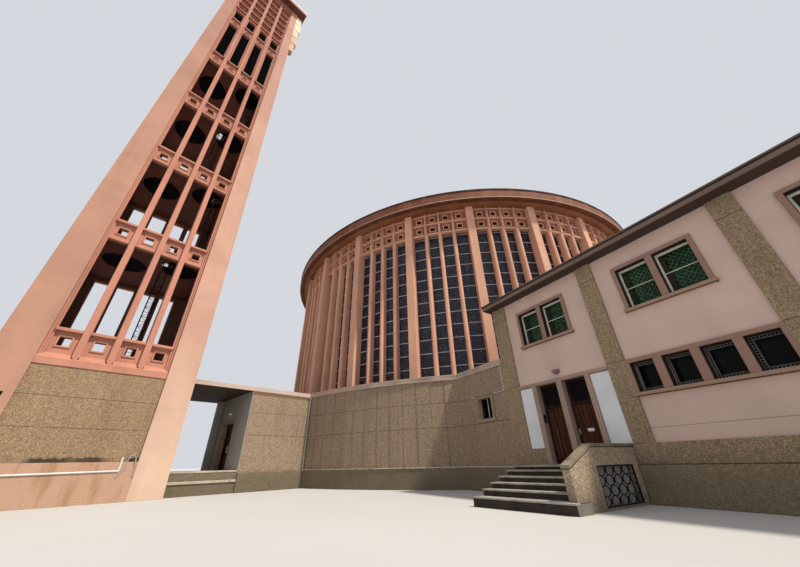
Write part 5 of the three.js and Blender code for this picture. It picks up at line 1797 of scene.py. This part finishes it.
    def roof_edge(self):
        """Fascia board, dark gutter edge and covering along the roof's outline."""
        fascia, gutter, edge = (bmesh.new() for _ in range(3))
        outline = house_outline()
        for i, start in enumerate(outline):
            end = outline[(i + 1) % len(outline)]
            run = end - start
            heading = math.degrees(math.atan2(run.y, run.x))
            place = Matrix.Translation((start.x, start.y, 0)) @ turned(heading)
            for bm, proud, low, high in (
                (fascia, 0.015, HOUSE_WALL_TOP + 0.02, HOUSE_ROOF_TOP - 0.09),
                (gutter, 0.03, HOUSE_ROOF_TOP - 0.09, HOUSE_ROOF_TOP - 0.035),
                (edge, 0.05, HOUSE_ROOF_TOP - 0.035, HOUSE_ROOF_TOP + 0.02),
            ):
                box(bm, (-proud, run.length + proud), (-proud, 0.04), (low, high), 0.004, place)
        add_piece("presbytery_fascia", fascia, finishes["fascia"], HOUSE)
        add_piece("presbytery_gutter", gutter, finishes["dark_metal"], HOUSE)
        add_piece("presbytery_roof_edge", edge, finishes["edge_metal"], HOUSE)
        bm = bmesh.new()
        inside = [tuple(point) for point in house_outline(0.03)]
        plan(bm, inside, (HOUSE_ROOF_TOP - 0.01, HOUSE_ROOF_TOP + 0.012))
        add_piece("presbytery_roof_covering", bm, finishes["roofing"], HOUSE)


def house_outline(inset=0.0):
    """The plan of the presbytery's roof, moved in by an inset."""
    corners = [Vector(corner) for corner in (
        (0, 0), (HOUSE_LENGTH, 0), (HOUSE_LENGTH, HOUSE_DEPTH), (HOUSE_CUT_S, HOUSE_DEPTH), (0, HOUSE_CUT_D)
    )]
    shifts = [inset - overhang for overhang in HOUSE_OVERHANGS]
    moved = []
    for i, corner in enumerate(corners):
        before = (corner - corners[i - 1]).normalized()
        after = (corners[(i + 1) % len(corners)] - corner).normalized()
        moved.append(corner + (after * shifts[i - 1] - before * shifts[i]) / before.cross(after))
    return moved


def clipped(start, end, x, z):
    """The part of a straight line inside a rectangle, or None."""
    run = end - start
    low, high = 0.0, 1.0
    for at, step, (least, most) in ((start.x, run.x, x), (start.z, run.z, z)):
        first, last = sorted(((least - at) / step, (most - at) / step))
        low, high = max(low, first), min(high, last)
    return (start + run * low, start + run * high) if high - low > 0.03 else None


class CHURCH_OT_steps(ChurchOperator, bpy.types.Operator):
    """Treads, flank wall coping and ring grille by the presbytery's doors"""

    bl_idname = "church.steps"
    bl_label = "Steps and flank wall"

    # A tread's nose stands out over the riser under it, and its bed lies in the step
    NOSE = 0.035
    BED = 0.03
    TREAD_PROUD = 0.008
    STEP_END_RUN = (-3.6, -3.0)

    # The pattern of the ring grille
    RING_RISE = 0.125
    RING_PITCH = 0.42
    ROWS = 4
    GRILLE_PLATE = (0.16, 0.18)

    def execute(self, context):
        dress(finishes["riser"], "presbytery_steps")
        dress(finishes["flank_aggregate"], "flank_wall")
        self.treads()
        self.coping()
        self.grille(context.scene.church_presbytery.mesh_radius)
        return {"FINISHED"}

    def treads(self):
        """A slab with a nose on each step, and the end of the lowest step past the flank wall."""
        def edge(out, s, slope=STEP_TURN):
            """The point at s on a line across the steps, which at STEP_PIVOT lies out from the house."""
            return s, -(out + slope * (s - STEP_PIVOT))

        bm = bmesh.new()
        left, right = STEPS_LEFT - 0.02, FLANK_LEFT - 0.01
        wall_end = -FLANK_END - 0.01
        for index, (out, top) in enumerate(zip(STEP_FRONTS, STEP_TOPS)):
            last = index + 1 == len(STEP_FRONTS)
            behind, turn = (0.0, 0.0) if last else (STEP_FRONTS[index + 1] - 0.02, STEP_TURN)
            end = right if index else STEP_END + 0.01
            round_wall = [] if index else [(end, wall_end), (right, wall_end)]
            outline = [edge(out + self.NOSE, left), edge(out + self.NOSE, end), *round_wall,
                       edge(behind, right, turn), edge(behind, left, turn)]
            plan(bm, outline, (top - self.BED, top + self.TREAD_PROUD))
        add_piece("presbytery_treads", bm, finishes["tread"], HOUSE)
        bm = bmesh.new()
        across = (STEP_END - 0.01, STEP_END + 0.012)
        box(bm, across, self.STEP_END_RUN, (0.0, STEP_TOPS[0] - 0.01), 0.004)
        add_piece("presbytery_step_end", bm, finishes["step_end"], HOUSE)

    def coping(self):
        """A slab along the flank wall's level top and down its slope, over a dark joint that is also painted
        shadow under the slab.
        """
        for name, top, thick, proud, finish in (
            ("flank_coping", 0.008, 0.08, 0.015, "flank_cap"),
            # A dark joint under the coping, painted darker as shadow too
            ("flank_joint", -0.07, 0.025, 0.004, "riser"),
        ):
            run = [(-0.01, FLANK_TOP), (-FLANK_LEVEL, FLANK_TOP), (-FLANK_END - proud, FLANK_LOW)]
            side = [(y, z + top) for y, z in run] + [(y, z + top - thick) for y, z in reversed(run)]
            bm = bmesh.new()
            width = FLANK_RIGHT - FLANK_LEFT + 2 * proud
            extruded(bm, [(FLANK_LEFT - proud, y, z) for y, z in side], (width, 0, 0))
            add_piece(name, bm, finishes[finish], HOUSE)

    def grille(self, radius):
        """Black rings in staggered rows inside a thin frame, with a grey plate behind them."""
        near, far, low, high = GRILLE
        y = FLANK_RIGHT - 0.03
        bm = bmesh.new()
        surround(bm, (-far, -near), (low, high), (-far + 0.05, -near - 0.05), (low + 0.03, high - 0.03),
                 (-y - 0.02, -y + 0.01), 0.004, QUARTER)
        ring = ring_shape(radius, 0.02, 12)
        flat = Matrix.Diagonal((1, 1, self.RING_RISE / radius, 1))
        rise = (high - low - 2 * self.RING_RISE) / (self.ROWS - 1)
        for row in range(self.ROWS):
            z = low + self.RING_RISE + row * rise
            x = -far + radius * (1.0 if row % 2 else 0.45)
            while x < -near - radius * 0.4:
                stamp(bm, ring, QUARTER @ Matrix.Translation((x, -y, z)) @ flat)
                x += self.RING_PITCH
        bpy.data.meshes.remove(ring)
        add_piece(
            "flank_ring_grille", bm, finishes["iron"], HOUSE, replaces=("flank_grille",)
        )
        bm = bmesh.new()
        behind = [depth - y for depth in self.GRILLE_PLATE]
        box(bm, (-far + 0.01, -near - 0.01), behind, (low, high), 0, QUARTER)
        add_piece("flank_grille_back", bm, finishes["porch"], HOUSE)


class CHURCH_PT_pieces(bpy.types.Panel):
    """All pieces of the church, each with its button"""

    bl_idname = "CHURCH_PT_pieces"
    bl_label = "Church"
    bl_space_type = "VIEW_3D"
    bl_region_type = "UI"
    bl_category = "Church"

    def draw(self, context):
        for kind in OPERATORS:
            self.layout.operator(kind.bl_idname)


SETTINGS = {
    "church_tower": TowerSettings,
    "church_drum": DrumSettings,
    "church_presbytery": PresbyterySettings,
    "church_finish": FinishSettings,
    "church_light": LightSettings,
}
OPERATORS = (
    CHURCH_OT_stage,
    CHURCH_OT_drum,
    CHURCH_OT_roof,
    CHURCH_OT_gallery,
    CHURCH_OT_portico,
    CHURCH_OT_tower,
    CHURCH_OT_presbytery,
    CHURCH_OT_steps,
)


def register():
    for kind in (*SETTINGS.values(), *OPERATORS, CHURCH_PT_pieces):
        bpy.utils.register_class(kind)
    for name, kind in SETTINGS.items():
        setattr(bpy.types.Scene, name, PointerProperty(type=kind))


def unregister():
    for name in SETTINGS:
        delattr(bpy.types.Scene, name)
    for kind in reversed((*SETTINGS.values(), *OPERATORS, CHURCH_PT_pieces)):
        bpy.utils.unregister_class(kind)


def main():
    register()
    make_finishes(bpy.context.scene.church_finish)
    for kind in OPERATORS:
        group, name = kind.bl_idname.split(".")
        getattr(getattr(bpy.ops, group), name)()


if __name__ == "__main__":
    main()
